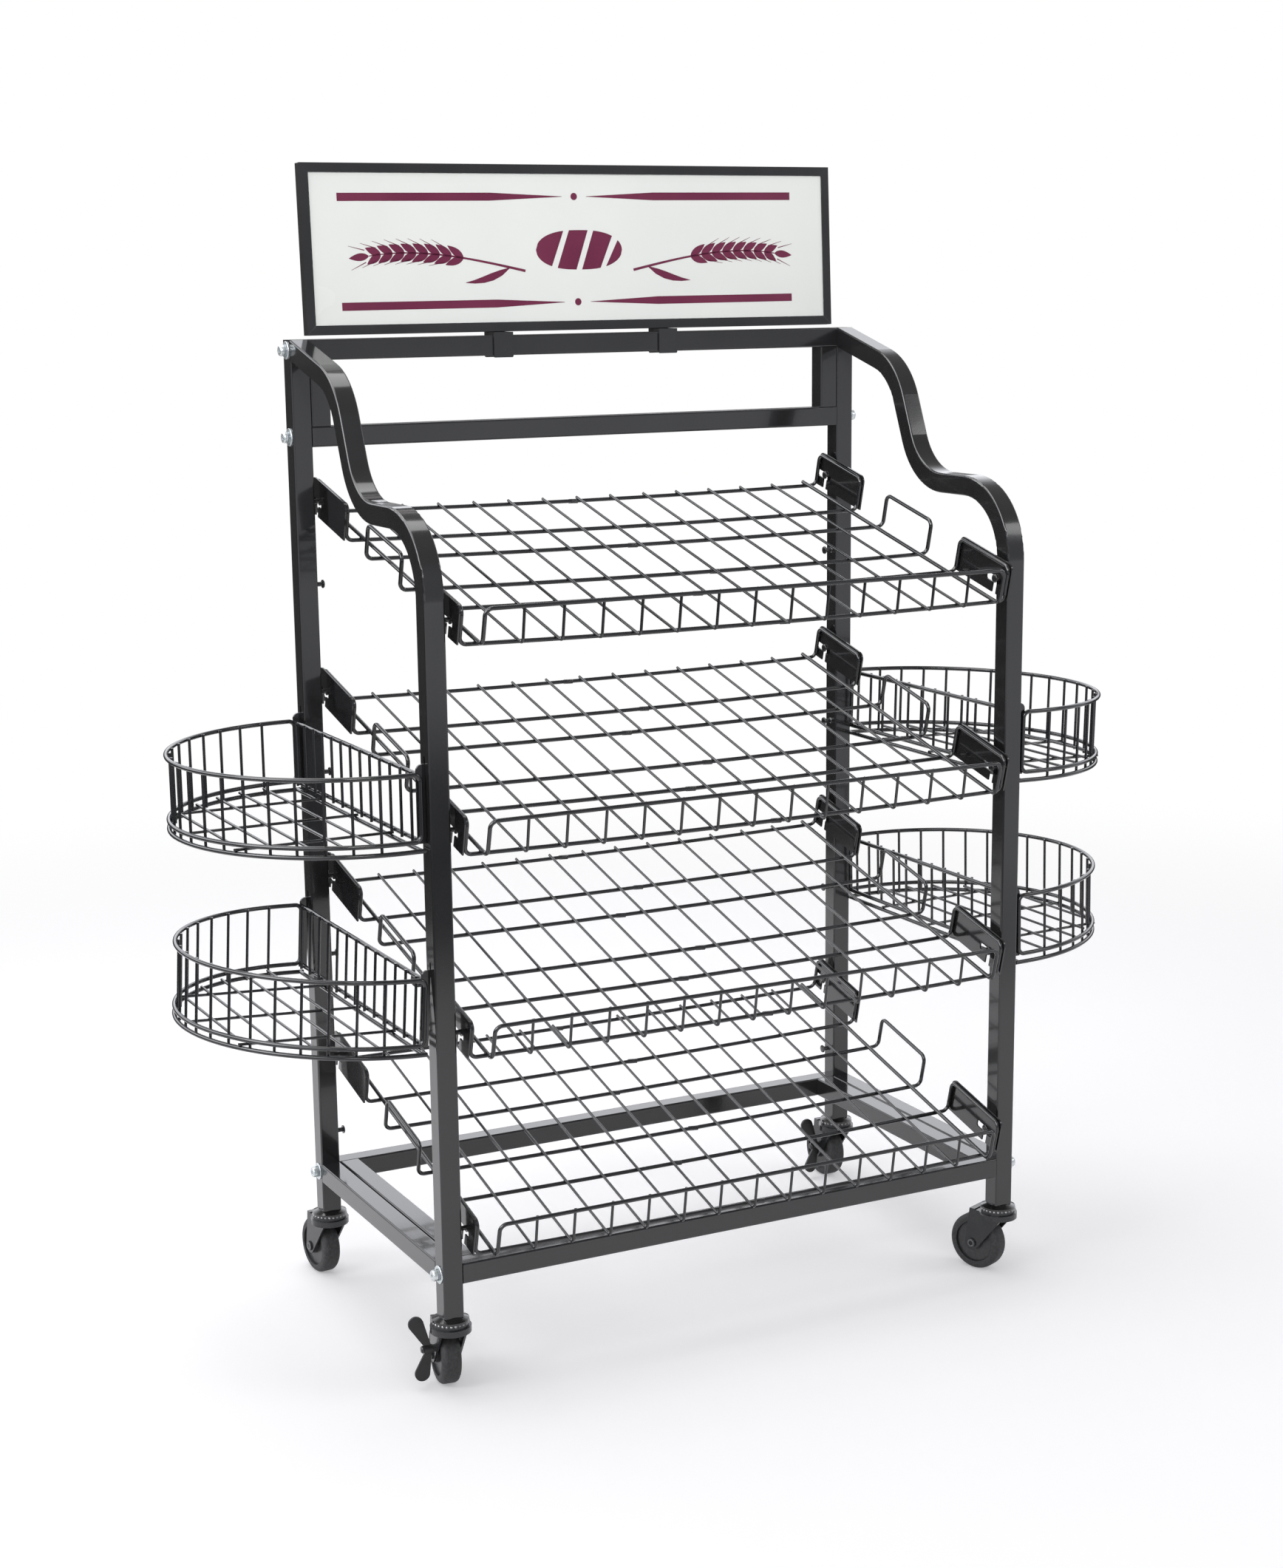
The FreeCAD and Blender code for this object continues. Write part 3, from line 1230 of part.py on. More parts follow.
def caster_wheel():
    """Tyre and wheel centre, two solids turning together on the axle."""
    blank = across_wheel("Sizes.wheel_diameter / 2", "Sizes.wheel_width")
    document.recompute()
    crowned = document.addObject("Part::Fillet", "TyreShoulders")
    crowned.Base = blank
    radius = get("wheel_crown")
    rims = [number for number, edge in enumerate(blank.Shape.Edges, 1)
            if isinstance(edge.Curve, Part.Circle)]
    crowned.Edges = [(number, radius, radius) for number in rims]
    tyre = cut(crowned, [across_wheel("Sizes.hub_diameter / 2", "Sizes.wheel_width")])
    disc = across_wheel("Sizes.hub_diameter / 2", "Sizes.wheel_width - 2 * Sizes.hub_dish")
    boss = across_wheel("Sizes.hub_boss_diameter / 2", "Sizes.fork_gap - 2 * Sizes.hub_play")
    bore_radius = "Sizes.axle_diameter / 2 + Sizes.axle_play"
    centre = combine("Part::MultiFuse", [disc, boss])
    centre = cut(centre, [across_wheel(bore_radius, "Sizes.fork_gap")])
    return combine("Part::Compound", [tyre, centre])


for end_name, end in ENDS.items():
    for side_name, side in SIDES.items():
        corner_name = f"{end_name}_{side_name}"
        braked = corner_name in ("front_left", "rear_right")
        solids = [fork_body(), axle_bolt()]
        if braked:
            solids.append(lever_pin())
        groups = {"caster_fork": wire_work(solids), "caster_wheel": caster_wheel()}
        if braked:
            groups["brake_lever"] = wire_work([brake_lever()])
        for part, group in groups.items():
            seat(group, f"{part}_{corner_name}", f"{side} * Layout.post_x",
                 f"{end} * Layout.post_y", "0", Rotation(Vector(0, 0, 1), 1),
                 f"Sizes.{corner_name}_swivel")

document.recompute()


# ---- Checks and files -----------------------------------------------------------------------

failed = [item.Label for item in document.Objects
          if "Invalid" in item.State or "Error" in item.State]
if failed:
    raise RuntimeError(f"objects that failed to compute: {failed}")
for node in nodes:
    if node.Shape.isNull() or not node.Shape.isValid():
        raise RuntimeError(f"{node.Label} has no valid shape")
    if any(solid.Volume <= 0 for solid in node.Shape.Solids) or not node.Shape.Solids:
        raise RuntimeError(f"{node.Label} has no solid")

os.makedirs("parts", exist_ok=True)
for node in nodes:
    node.Shape.exportStep(os.path.join("parts", f"{node.Label}.step"))
print(f"{len(nodes)} nodes written")
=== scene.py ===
import math

import bmesh
import bpy
from mathutils import Matrix, Vector


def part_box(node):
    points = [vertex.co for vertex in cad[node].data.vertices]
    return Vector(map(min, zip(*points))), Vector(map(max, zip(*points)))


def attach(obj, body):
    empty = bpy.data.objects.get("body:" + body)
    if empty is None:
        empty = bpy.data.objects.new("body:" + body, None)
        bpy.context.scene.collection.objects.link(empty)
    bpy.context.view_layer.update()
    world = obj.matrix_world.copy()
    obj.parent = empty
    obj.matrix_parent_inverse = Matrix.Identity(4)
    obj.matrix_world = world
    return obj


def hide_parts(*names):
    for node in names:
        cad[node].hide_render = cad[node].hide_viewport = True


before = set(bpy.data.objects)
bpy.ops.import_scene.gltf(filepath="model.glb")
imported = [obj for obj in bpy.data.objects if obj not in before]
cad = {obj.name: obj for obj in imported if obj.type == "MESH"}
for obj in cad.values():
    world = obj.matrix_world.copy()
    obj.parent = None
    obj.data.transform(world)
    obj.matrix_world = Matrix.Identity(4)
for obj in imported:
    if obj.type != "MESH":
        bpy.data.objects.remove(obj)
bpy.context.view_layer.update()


# ---- Viewpoint and studio ------------------------------------------------------------------
# The viewer stands to the left of the customer side, level with the header sign. The rack is
# on a white paper sweep, lit from above by large soft lamps, in a room that only gloss shows.

picture_width = 1736
picture_height = 2121
focal_length = 3452.21  # in pixels, as are the two sizes above and the two places below
lens_across = 848.20
lens_down = 1122.99
sensor = 36  # millimetres, along the taller side of the picture
eye = (-1.4835, -2.8503, 1.2966)
azimuth, elevation, roll = (math.radians(angle) for angle in (-26.80, 12.15, -0.72))
back = Vector((math.sin(azimuth) * math.cos(elevation),
               -math.cos(azimuth) * math.cos(elevation), math.sin(elevation)))
level_right = Vector((math.cos(azimuth), math.sin(azimuth), 0))
level_up = back.cross(level_right)
right = level_right * math.cos(roll) + level_up * math.sin(roll)
up = level_up * math.cos(roll) - level_right * math.sin(roll)
lens = bpy.data.cameras.new("Camera")
lens.lens = focal_length * sensor / picture_height
lens.shift_x = (picture_width / 2 - lens_across) / picture_height
lens.shift_y = (lens_down - picture_height / 2) / picture_height
camera = bpy.data.objects.new("Camera", lens)
bpy.context.collection.objects.link(camera)
camera.matrix_world = (Matrix.Translation(eye)
                       @ Matrix((right, up, back)).transposed().to_4x4())
bpy.context.scene.camera = camera
bpy.context.scene.view_settings.view_transform = "Standard"


class Shade:
    """A value in a node tree, on which sums are written as on a number."""

    def __init__(self, tree, socket=None):
        self.tree = tree
        self.socket = socket

    def node(self, kind, settings=(), inputs=(), output=0):
        """Any node, from its type, its settings and what its sockets hold."""
        made = self.tree.nodes.new(kind)
        for name, value in dict(settings).items():
            setattr(made, name, value)
        for name, value in dict(inputs).items():
            if isinstance(value, Shade):
                self.tree.links.new(value.socket, made.inputs[name])
            else:
                made.inputs[name].default_value = value
        return Shade(self.tree, made.outputs[output] if made.outputs else None)

    def sum(self, operation, first, second=0.0):
        return self.node("ShaderNodeMath", {"operation": operation}, {0: first, 1: second})

    def __add__(self, other):
        return self.sum("ADD", self, other)

    def __radd__(self, other):
        return self.sum("ADD", other, self)

    def __sub__(self, other):
        return self.sum("SUBTRACT", self, other)

    def __rsub__(self, other):
        return self.sum("SUBTRACT", other, self)

    def __mul__(self, other):
        return self.sum("MULTIPLY", self, other)

    def __rmul__(self, other):
        return self.sum("MULTIPLY", other, self)

    def between(self, low, high):
        """0 below low, 1 above high, and a smooth rise from one to the other."""
        settings = {"interpolation_type": "SMOOTHSTEP"}
        return self.node("ShaderNodeMapRange", settings, {0: self, 1: low, 2: high})

    def tint(self, first, second):
        """The first colour where this value is 0 and the second where it is 1."""
        settings = {"data_type": "RGBA"}
        return self.node("ShaderNodeMix", settings, {0: self, 6: first, 7: second}, 2)


def grey(level):
    return (level, level, level, 1)


def axes(sheet, place):
    """The three parts of a place or a direction."""
    return [sheet.node("ShaderNodeSeparateXYZ", inputs={0: place}, output=axis)
            for axis in range(3)]


def seen_directly(sheet):
    """1 for what the eye sees itself, or by way of gloss or glass."""
    eyes, gloss, glass = (
        sheet.node("ShaderNodeLightPath", output=name)
        for name in ("Is Camera Ray", "Is Glossy Ray", "Is Transmission Ray"))
    return eyes.sum("MAXIMUM", eyes, gloss.sum("MAXIMUM", gloss, glass))


# Gloss shows a dim wall behind the viewer, a bright one behind the rack above a dark foot, a
# grey ceiling and a window on the left. The eye sees plain white, and matt faces get even light.
surround = bpy.data.worlds.new("Surround")
bpy.context.scene.world = surround
surround.use_nodes = True
surround.node_tree.nodes.clear()
sheet = Shade(surround.node_tree)
heading = sheet.node("ShaderNodeTexCoord", output="Generated")
sideways, ahead, upward = axes(sheet, heading)
rear_wall = upward.between(0.05, 0.22).tint(grey(0.12), (1.75, 1.77, 1.85, 1))
walls = ahead.between(-0.35, 0.35).tint((0.43, 0.44, 0.48, 1), rear_wall)
walls_and_ceiling = upward.between(0.40, 0.75).tint(walls, grey(0.28))
window = (sideways * -1.0).between(0.35, 0.60) * upward.between(0.15, 0.35)
room = window.tint(walls_and_ceiling, (3.8, 3.85, 4.0, 1))
in_gloss = sheet.node("ShaderNodeLightPath", output="Is Glossy Ray")
seen = sheet.node("ShaderNodeBackground", inputs={0: in_gloss.tint(grey(1.0), room), 1: 1.0})
even_light = sheet.node("ShaderNodeBackground", inputs={0: grey(1.0), 1: 0.42})
sky = sheet.node("ShaderNodeMixShader", inputs={
    0: seen_directly(sheet), 1: even_light, 2: seen})
sheet.node("ShaderNodeOutputWorld", inputs={0: sky})

floor_radius = 40
floor_mesh = bpy.data.meshes.new("floor")
shape = bmesh.new()
bmesh.ops.create_circle(shape, cap_ends=True, segments=96, radius=floor_radius)
shape.to_mesh(floor_mesh)
shape.free()
floor = bpy.data.objects.new("floor", floor_mesh)
bpy.context.collection.objects.link(floor)

# The paper takes the rack's shadow near by and goes over into plain white. Gloss sees where
# the paper ends: a dark room behind it and a lighter one in front, brightest on the open side.
paper = bpy.data.materials.new("white_paper")
paper.use_nodes = True
paper.node_tree.nodes.clear()
sheet = Shade(paper.node_tree)
place = sheet.node("ShaderNodeTexCoord", output="Object")
beside, behind, _ = axes(sheet, place)
reach = sheet.node("ShaderNodeVectorMath", {"operation": "LENGTH"}, {0: place}, "Value")
matt = sheet.node("ShaderNodeBsdfDiffuse", inputs={0: (0.80, 0.795, 0.82, 1)})
glow = sheet.node("ShaderNodeEmission", inputs={0: (0.98, 0.98, 1.0, 1), 1: 0.315})
near_paper = sheet.node("ShaderNodeAddShader", inputs={0: matt, 1: glow})
far_paper = sheet.node("ShaderNodeEmission", inputs={0: grey(1.0), 1: 1.0})
sweep = sheet.node("ShaderNodeMixShader", inputs={
    0: reach.between(1.3, 3.4), 1: near_paper, 2: far_paper})
open_side = beside.between(0.9, 1.9)
open_side = open_side.sum("MAXIMUM", open_side, reach.between(3.6, 5.2))
front_room = open_side.tint((0.145, 0.150, 0.165, 1), (0.86, 0.87, 0.93, 1))
room_tone = behind.between(-0.5, 0.5).tint(front_room, grey(0.07))
room = sheet.node("ShaderNodeEmission", inputs={0: room_tone, 1: 1.0})
in_gloss = sheet.node("ShaderNodeLightPath", output="Is Glossy Ray")
past_paper = in_gloss * reach.between(1.7, 2.4)
seen = sheet.node("ShaderNodeMixShader", inputs={0: past_paper, 1: sweep, 2: room})
bounce = sheet.node("ShaderNodeBsdfDiffuse", inputs={0: grey(0.72)})
ground = sheet.node("ShaderNodeMixShader", inputs={0: seen_directly(sheet), 1: bounce, 2: seen})
sheet.node("ShaderNodeOutputMaterial", inputs={0: ground})
floor_mesh.materials.append(paper)


def lamp(name, place, aim, width, power, spread=180):
    """A square soft lamp, its spread in degrees."""
    light = bpy.data.lights.new(name, "AREA")
    light.size = width
    light.energy = power
    light.spread = math.radians(spread)
    holder = bpy.data.objects.new(name, light)
    bpy.context.collection.objects.link(holder)
    holder.location = place
    holder.rotation_euler = (Vector(aim) - Vector(place)).to_track_quat("-Z", "Y").to_euler()


lamp("overhead_lamp", place=(-0.5, 0.7, 3.6), aim=(0, 0, 0.5), width=2.6, power=62)
lamp("left_lamp", place=(-3.2, -0.6, 2.4), aim=(0, 0, 0.7), width=1.6, power=30)
lamp("right_lamp", place=(2.9, -2.2, 2.6), aim=(0, 0, 0.7), width=1.4, power=18)
lamp("sign_lamp", place=(-0.9, -2.6, 2.4), aim=(0, 0.2, 1.40), width=0.8, power=3.2, spread=50)


# ---- Square tube frame ---------------------------------------------------------------------
# Posts, rails and the two bent front tubes are 25 mm square steel tube, welded, ground and
# powder coated in gloss black. The coat has a faint orange peel and a little settled dust.

post_low, post_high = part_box("rear_post_right")
front_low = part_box("front_tube_right")[0]
tube = post_high.x - post_low.x
post_x = post_high.x - tube / 2
post_y = (post_high.y - front_low.y - tube) / 2  # post centres, from the middle of the depth
setback = -(post_high.y + front_low.y) / 2  # that middle lies so far ahead of the origin
sides = {"left": -1, "right": 1}


def finish(name):
    """A new material and the blank sheet on which its nodes are set out."""
    material = bpy.data.materials.new(name)
    material.use_nodes = True
    material.node_tree.nodes.clear()
    return material, Shade(material.node_tree)


def surface(sheet, **sockets):
    """The closing shader; words in a socket's name are joined by a low line."""
    inputs = {name.replace("_", " "): value for name, value in sockets.items()}
    shader = sheet.node("ShaderNodeBsdfPrincipled", inputs=inputs)
    sheet.node("ShaderNodeOutputMaterial", inputs={0: shader})


def noise(sheet, place, scale, detail):
    return sheet.node("ShaderNodeTexNoise", inputs={
        "Vector": place, "Scale": scale, "Detail": detail})


def clouded(cloud, dark, pale):
    """Two tones that run into each other, as a noise between 0 and 1 has it."""
    return cloud.between(0.3, 0.7).tint(dark, pale)


def raised(sheet, height, depth, strength=1.0):
    """A normal from a height between 0 and 1 that stands for that depth in metres."""
    return sheet.node("ShaderNodeBump", inputs={
        "Strength": strength, "Distance": depth, "Height": height})


def black_coat(name, dark, pale, gloss, peel_scale, peel_depth):
    """Black powder coat: its colour, its roughness and its orange peel."""
    material, sheet = finish(name)
    place = sheet.node("ShaderNodeTexCoord", output="Object")
    cloud = noise(sheet, place, 9.0, 3.0)
    specks = noise(sheet, place, 900.0, 1.0).between(0.74, 0.80)
    dusty = (specks * 0.35).tint(clouded(cloud, dark, pale), (0.10, 0.10, 0.105, 1))
    peel = noise(sheet, place, peel_scale, 1.0)
    surface(sheet, Base_Color=dusty, Roughness=gloss + 0.07 * cloud + 0.2 * specks,
            Specular_IOR_Level=0.6, Coat_Weight=0.35, Coat_Roughness=0.04, Coat_IOR=1.5,
            Normal=raised(sheet, peel, peel_depth, 0.35))
    return material


def dress(material, *labels):
    """Give CAD nodes a finish."""
    for label in labels:
        cad[label].data.materials.clear()
        cad[label].data.materials.append(material)


tube_black = black_coat("tube_black", (0.0135, 0.0135, 0.0145, 1), (0.0185, 0.0185, 0.0195, 1),
                        gloss=0.10, peel_scale=420.0, peel_depth=0.00005)
dress(tube_black, "top_rail_lower", "top_rail_upper", "base_rail_front", "base_rail_rear")
for name in sides:
    dress(tube_black, f"rear_post_{name}", f"front_tube_{name}", f"side_rail_{name}",
          f"base_rail_{name}", f"top_upright_{name}")


# ---- Bolts and washers of the frame --------------------------------------------------------
# Eight round-head bolts with hexagon sockets hold the rails to the posts. Each sits on a split
# spring washer and a wide flat washer, all of steel with bright bluish zinc plate.

crease = math.radians(32)  # a sharper edge than this is shaded as an edge
merging = 1e-7  # corners closer than this become one


def solid(name, shape, smooth=True):
    """A piece from a bmesh, its faces turned outwards."""
    bmesh.ops.remove_doubles(shape, verts=shape.verts, dist=merging)
    bmesh.ops.recalc_face_normals(shape, faces=shape.faces)
    mesh = bpy.data.meshes.new(name)
    shape.to_mesh(mesh)
    shape.free()
    if smooth:
        mesh.polygons.foreach_set("use_smooth", [True] * len(mesh.polygons))
        mesh.set_sharp_from_angle(angle=crease)
    piece = bpy.data.objects.new(name, mesh)
    bpy.context.collection.objects.link(piece)
    return piece


def bridge(shape, near, far):
    """Faces all round between two rings of as many corners."""
    for number in range(len(near)):
        after = (number + 1) % len(near)
        shape.faces.new((near[number], near[after], far[after], far[number]))


def turned(name, profile, facets, through=False):
    """A part turned on a lathe about +Z from (radius, height) pairs.

    A radius may be a function of the angle. The ends are closed, or a profile that goes
    through the part comes back to its own start.
    """
    shape = bmesh.new()
    rings = []
    for radius, height in profile:
        ring = []
        for number in range(facets):
            angle = math.tau * number / facets
            reach = radius(angle) if callable(radius) else radius
            ring.append(shape.verts.new((reach * math.cos(angle), reach * math.sin(angle),
                                         height)))
        rings.append(ring)
    for lower, higher in zip(rings, rings[1:]):
        bridge(shape, lower, higher)
    if through:
        bridge(shape, rings[-1], rings[0])
    else:
        shape.faces.new(rings[-1])
        shape.faces.new(rings[0][::-1])
    return solid(name, shape)


def hexagon(width):
    """Reach of a hexagonal socket in every direction, from its width across the flats."""
    def reach(angle):
        return width / 2 / math.cos((angle + math.pi / 6) % (math.pi / 3) - math.pi / 6)
    return reach


def washer_profile(bore, rim, thickness, edge):
    """Radii and heights of a flat ring with its four edges rounded off a little."""
    return [(bore, edge), (bore + edge, 0), (rim - edge, 0), (rim, edge),
            (rim, thickness - edge), (rim - edge, thickness), (bore + edge, thickness),
            (bore, thickness - edge)]


def split_washer(name, bore, rim, height, rise):
    """A spring washer: one square coil whose cut ends stand apart."""
    shape = bmesh.new()
    steps = 44
    gap = 16
    corners = ((bore, 0), (rim, 0), (rim, height - rise), (bore, height - rise))
    rings = []
    for number in range(steps + 1):
        angle = math.radians(gap / 2 + (360 - gap) * number / steps)
        lift = rise * number / steps
        rings.append([shape.verts.new((radius * math.cos(angle), radius * math.sin(angle),
                                       level + lift)) for radius, level in corners])
    for near, far in zip(rings, rings[1:]):
        bridge(shape, near, far)
    shape.faces.new(rings[0][::-1])
    shape.faces.new(rings[-1])
    return solid(name, shape)


def setting_out_tree():
    """Geometry nodes that put one pattern at every station and join the copies."""
    tree = bpy.data.node_groups.new("Setting out", "GeometryNodeTree")
    for name, kind in (("Stations", "Geometry"), ("Pattern", "Object"), ("Finish", "Material"),
                       ("Size", "Float")):
        tree.interface.new_socket(name, in_out="INPUT", socket_type=f"NodeSocket{kind}")
    tree.interface.new_socket("Copies", in_out="OUTPUT", socket_type="NodeSocketGeometry")
    sheet = Shade(tree)
    entry = tree.nodes.new("NodeGroupInput")
    stations, pattern, finish_of, size = (Shade(tree, socket) for socket in entry.outputs[:4])
    shape = sheet.node("GeometryNodeObjectInfo", inputs={"Object": pattern}, output="Geometry")
    vector = {"data_type": "FLOAT_VECTOR"}
    turn = sheet.node("GeometryNodeInputNamedAttribute", vector, {"Name": "turn"})
    spin = sheet.node("FunctionNodeEulerToRotation", inputs={"Euler": turn})
    swell = sheet.node("GeometryNodeInputNamedAttribute", vector, {"Name": "swell"})
    scale = sheet.node("ShaderNodeVectorMath", {"operation": "SCALE"}, {0: swell, 3: size})
    copies = sheet.node("GeometryNodeInstanceOnPoints", inputs={
        "Points": stations, "Instance": shape, "Rotation": spin, "Scale": scale})
    joined = sheet.node("GeometryNodeRealizeInstances", inputs={"Geometry": copies})
    painted = sheet.node("GeometryNodeSetMaterial", inputs={
        "Geometry": joined, "Material": finish_of})
    sheet.node("NodeGroupOutput", inputs={"Copies": painted})
    return tree


setting_out = setting_out_tree()


def set_out(name, pattern, stations, material, body, size=1.0):
    """Copies of a pattern at stations (place, turn, swell), as one piece that rides a body.

    A copy is the pattern times its station's swell times the size of them all.
    """
    mesh = bpy.data.meshes.new(name)
    mesh.from_pydata([place for place, turn, swell in stations], [], [])
    for number, key in ((1, "turn"), (2, "swell")):
        values = mesh.attributes.new(key, "FLOAT_VECTOR", "POINT").data
        for value, station in zip(values, stations):
            value.vector = station[number]
    piece = bpy.data.objects.new(name, mesh)
    bpy.context.collection.objects.link(piece)
    modifier = piece.modifiers.new("Setting out", "NODES")
    modifier.node_group = setting_out
    values = {"Pattern": pattern, "Finish": material, "Size": size}
    for item in setting_out.interface.items_tree:
        if item.name in values:
            modifier[item.identifier] = values[item.name]
    bpy.context.view_layer.update()
    view = bpy.context.evaluated_depsgraph_get()
    plain_mesh = bpy.data.meshes.new_from_object(piece.evaluated_get(view))
    piece.modifiers.clear()
    piece.data = plain_mesh
    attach(piece, body)
    return piece


def zinc_plate(name, colour, gloss):
    """Bright zinc over steel: a paler, rougher bloom in places, and small pits."""
    material, sheet = finish(name)
    place = sheet.node("ShaderNodeTexCoord", output="Object")
    bloom = noise(sheet, place, 130.0, 3.0)
    pits = noise(sheet, place, 1900.0, 2.0)
    pale = tuple(0.6 * part + 0.3 for part in colour[:3]) + (1,)
    surface(sheet, Base_Color=bloom.between(0.35, 0.65).tint(colour, pale), Metallic=0.6,
            Roughness=gloss + 0.12 * bloom, Normal=raised(sheet, pits, 0.00004, 0.4))
    return material


as_made = (1, 1, 1)
outward = {-1: (0, -math.pi / 2, 0), 1: (0, math.pi / 2, 0)}
washer_bore = 0.0041
flat_rim = 0.0110
flat_thickness = 0.0016
spring_rim = 0.00725
spring_height = 0.0022


def middle_height(label):
    low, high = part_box(label)
    return (low.z + high.z) / 2


bolt_rows = [(-post_y, middle_height("base_rail_front")),
             (post_y, middle_height("base_rail_rear")),
             (post_y, middle_height("top_rail_lower")),
             (post_y, middle_height("top_rail_upper"))]


def bolt_stations(start):
    """Eight places, that far outside the posts' outer faces."""
    stations = []
    for side in sides.values():
        x = side * (post_x + tube / 2 + start)
        stations += [((x, y - setback, z), outward[side], as_made) for y, z in bolt_rows]
    return stations


# The bolt's profile runs up its shank, round its head and down into its socket.
socket = hexagon(0.0044)
bolt = turned("bolt", [
    (0.0040, -0.0350), (0.0040, 0.0), (0.0065, 0.0), (0.0070, 0.0005), (0.0070, 0.0030),
    (0.0069, 0.0042), (0.0065, 0.0052), (0.0058, 0.0058), (0.0046, 0.0060), (0.0031, 0.0060),
    (socket, 0.0058), (socket, 0.0030), (0.0010, 0.0026)], facets=48)
flat_profile = washer_profile(washer_bore, flat_rim, flat_thickness, edge=0.0003)
flat = turned("flat_washer", flat_profile, facets=56, through=True)
spring = split_washer("spring_washer", washer_bore, spring_rim, spring_height, rise=0.0005)
zinc = zinc_plate("bright_zinc", (0.72, 0.78, 0.80, 1), gloss=0.22)
dull_zinc = zinc_plate("washer_zinc", (0.30, 0.34, 0.37, 1), gloss=0.24)
bolts = set_out("bolts", bolt, bolt_stations(flat_thickness + spring_height), zinc, "frame")
flats = set_out("wide_washers", flat, bolt_stations(0), zinc, "frame")
springs = set_out("split_washers", spring, bolt_stations(flat_thickness), dull_zinc, "frame")
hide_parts("frame_bolts")
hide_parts("flat_washers")
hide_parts("spring_washers")
dress(dull_zinc, "rail_plugs")


# ---- Shelf studs ---------------------------------------------------------------------------
# Twenty-four headed studs are welded to the inner faces of the posts, and black like them.
# Their low domed heads hold the hanger plates; each stands in a small fillet of weld.

inward = {side: outward[-side] for side in sides.values()}
first_stud = 0.2025
shelf_pitch = 0.2413
shelf_levels = [first_stud + shelf_pitch * number for number in range(4)]
shelf_rise = 0.104  # a shelf's rear studs above its front ones
stud_stations = []
for side in sides.values():
    for level in shelf_levels:
        for y, z in ((-post_y, level), (post_y, level), (post_y, level + shelf_rise)):
            stud_stations.append(((side * (post_x - tube / 2), y - setback, z),
                                  inward[side], as_made))
# The stud's profile starts with the fillet of weld and ends on its domed head.
stud = turned("stud", [
    (0.0041, 0.0), (0.0036, 0.0005), (0.0030, 0.0014), (0.0029, 0.0100), (0.0052, 0.0100),
    (0.0054, 0.0103), (0.0054, 0.0112), (0.0050, 0.0118), (0.0038, 0.0122), (0.0015, 0.0124)],
    facets=32)
stud_black = black_coat("stud_black", (0.012, 0.012, 0.013, 1), (0.022, 0.022, 0.024, 1),
                        gloss=0.16, peel_scale=700.0, peel_depth=0.00010)
studs = set_out("studs", stud, stud_stations, stud_black, "frame")
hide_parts("shelf_studs")


# ---- Wire shelves --------------------------------------------------------------------------
# Three closed loops of 5 mm wire carry thirteen 3.5 mm wires and the heavy lip wire, all
# resistance welded where they cross, then powder coated. The welds squeeze out small nuggets.

wire_black = black_coat("wire_black", (0.0085, 0.0090, 0.0105, 1), (0.0140, 0.0145, 0.0160, 1),
                        gloss=0.13, peel_scale=520.0, peel_depth=0.00005)
weld_black = black_coat("weld_black", (0.0110, 0.0112, 0.0125, 1), (0.0230, 0.0232, 0.0245, 1),
                        gloss=0.20, peel_scale=1500.0, peel_depth=0.00025)
plate_black = black_coat("plate_black", (0.0115, 0.0115, 0.0125, 1), (0.0195, 0.0195, 0.0210, 1),
                         gloss=0.10, peel_scale=360.0, peel_depth=0.00006)
slope = math.atan2(shelf_rise, 2 * post_y)
loop_width = 0.110
first_loop = -0.027  # front wire of a loop, up the slope from the front studs
rear_overhang = 0.0174  # rear wire of the last loop, past the rear studs
last_loop = math.hypot(shelf_rise, 2 * post_y) + rear_overhang - loop_width
loop_fronts = (first_loop, (first_loop + last_loop) / 2, last_loop)
cross_wires = [front + offset for front in loop_fronts for offset in (0, loop_width)]
loop_end_x = 0.369
long_wires = 15
outer_x = 0.349  # outermost long wires
long_wire_x = [outer_x * (2 * number / (long_wires - 1) - 1) for number in range(long_wires)]
wire_drop = 0.020  # ends of the cross wires, below the line through the studs
sag = 0.004
weld_rise = 0.0026  # welds of the long wires, above the middle of the cross wires
lip_weld = (-0.0440, 0.0283)  # tops of the thin wires, inside the heavy lip wire
hanger_x = 0.3710
hanger_weld_height = 0.012
splice_drop = 0.0002
splice_stagger = 0.030
shelf_shift = 0.012  # each shelf's splices lie so much further to the right
crossing_nugget = (2.9, 2.5, 1.1)
lip_nugget = (2.2, 1.8, 2.4)
hanger_nugget = (1.4, 2.0, 4.2)


def sagging(x):
    """Middle of the cross wires, below the line through the studs."""
    return -wire_drop - sag * (1 - (x / loop_end_x) ** 2)


def on_shelf(level, x, along, height):
    """A point on a shelf: across, up the slope from the front studs, and square to it."""
    return (x, along * math.cos(slope) - height * math.sin(slope) - post_y - setback,
            along * math.sin(slope) + height * math.cos(slope) + level)


def welded(name, pattern, stations, body, size=1.0):
    """Weld metal, under the same coat as the wires that it joins."""
    piece = set_out(name, pattern, stations, weld_black, body, size)


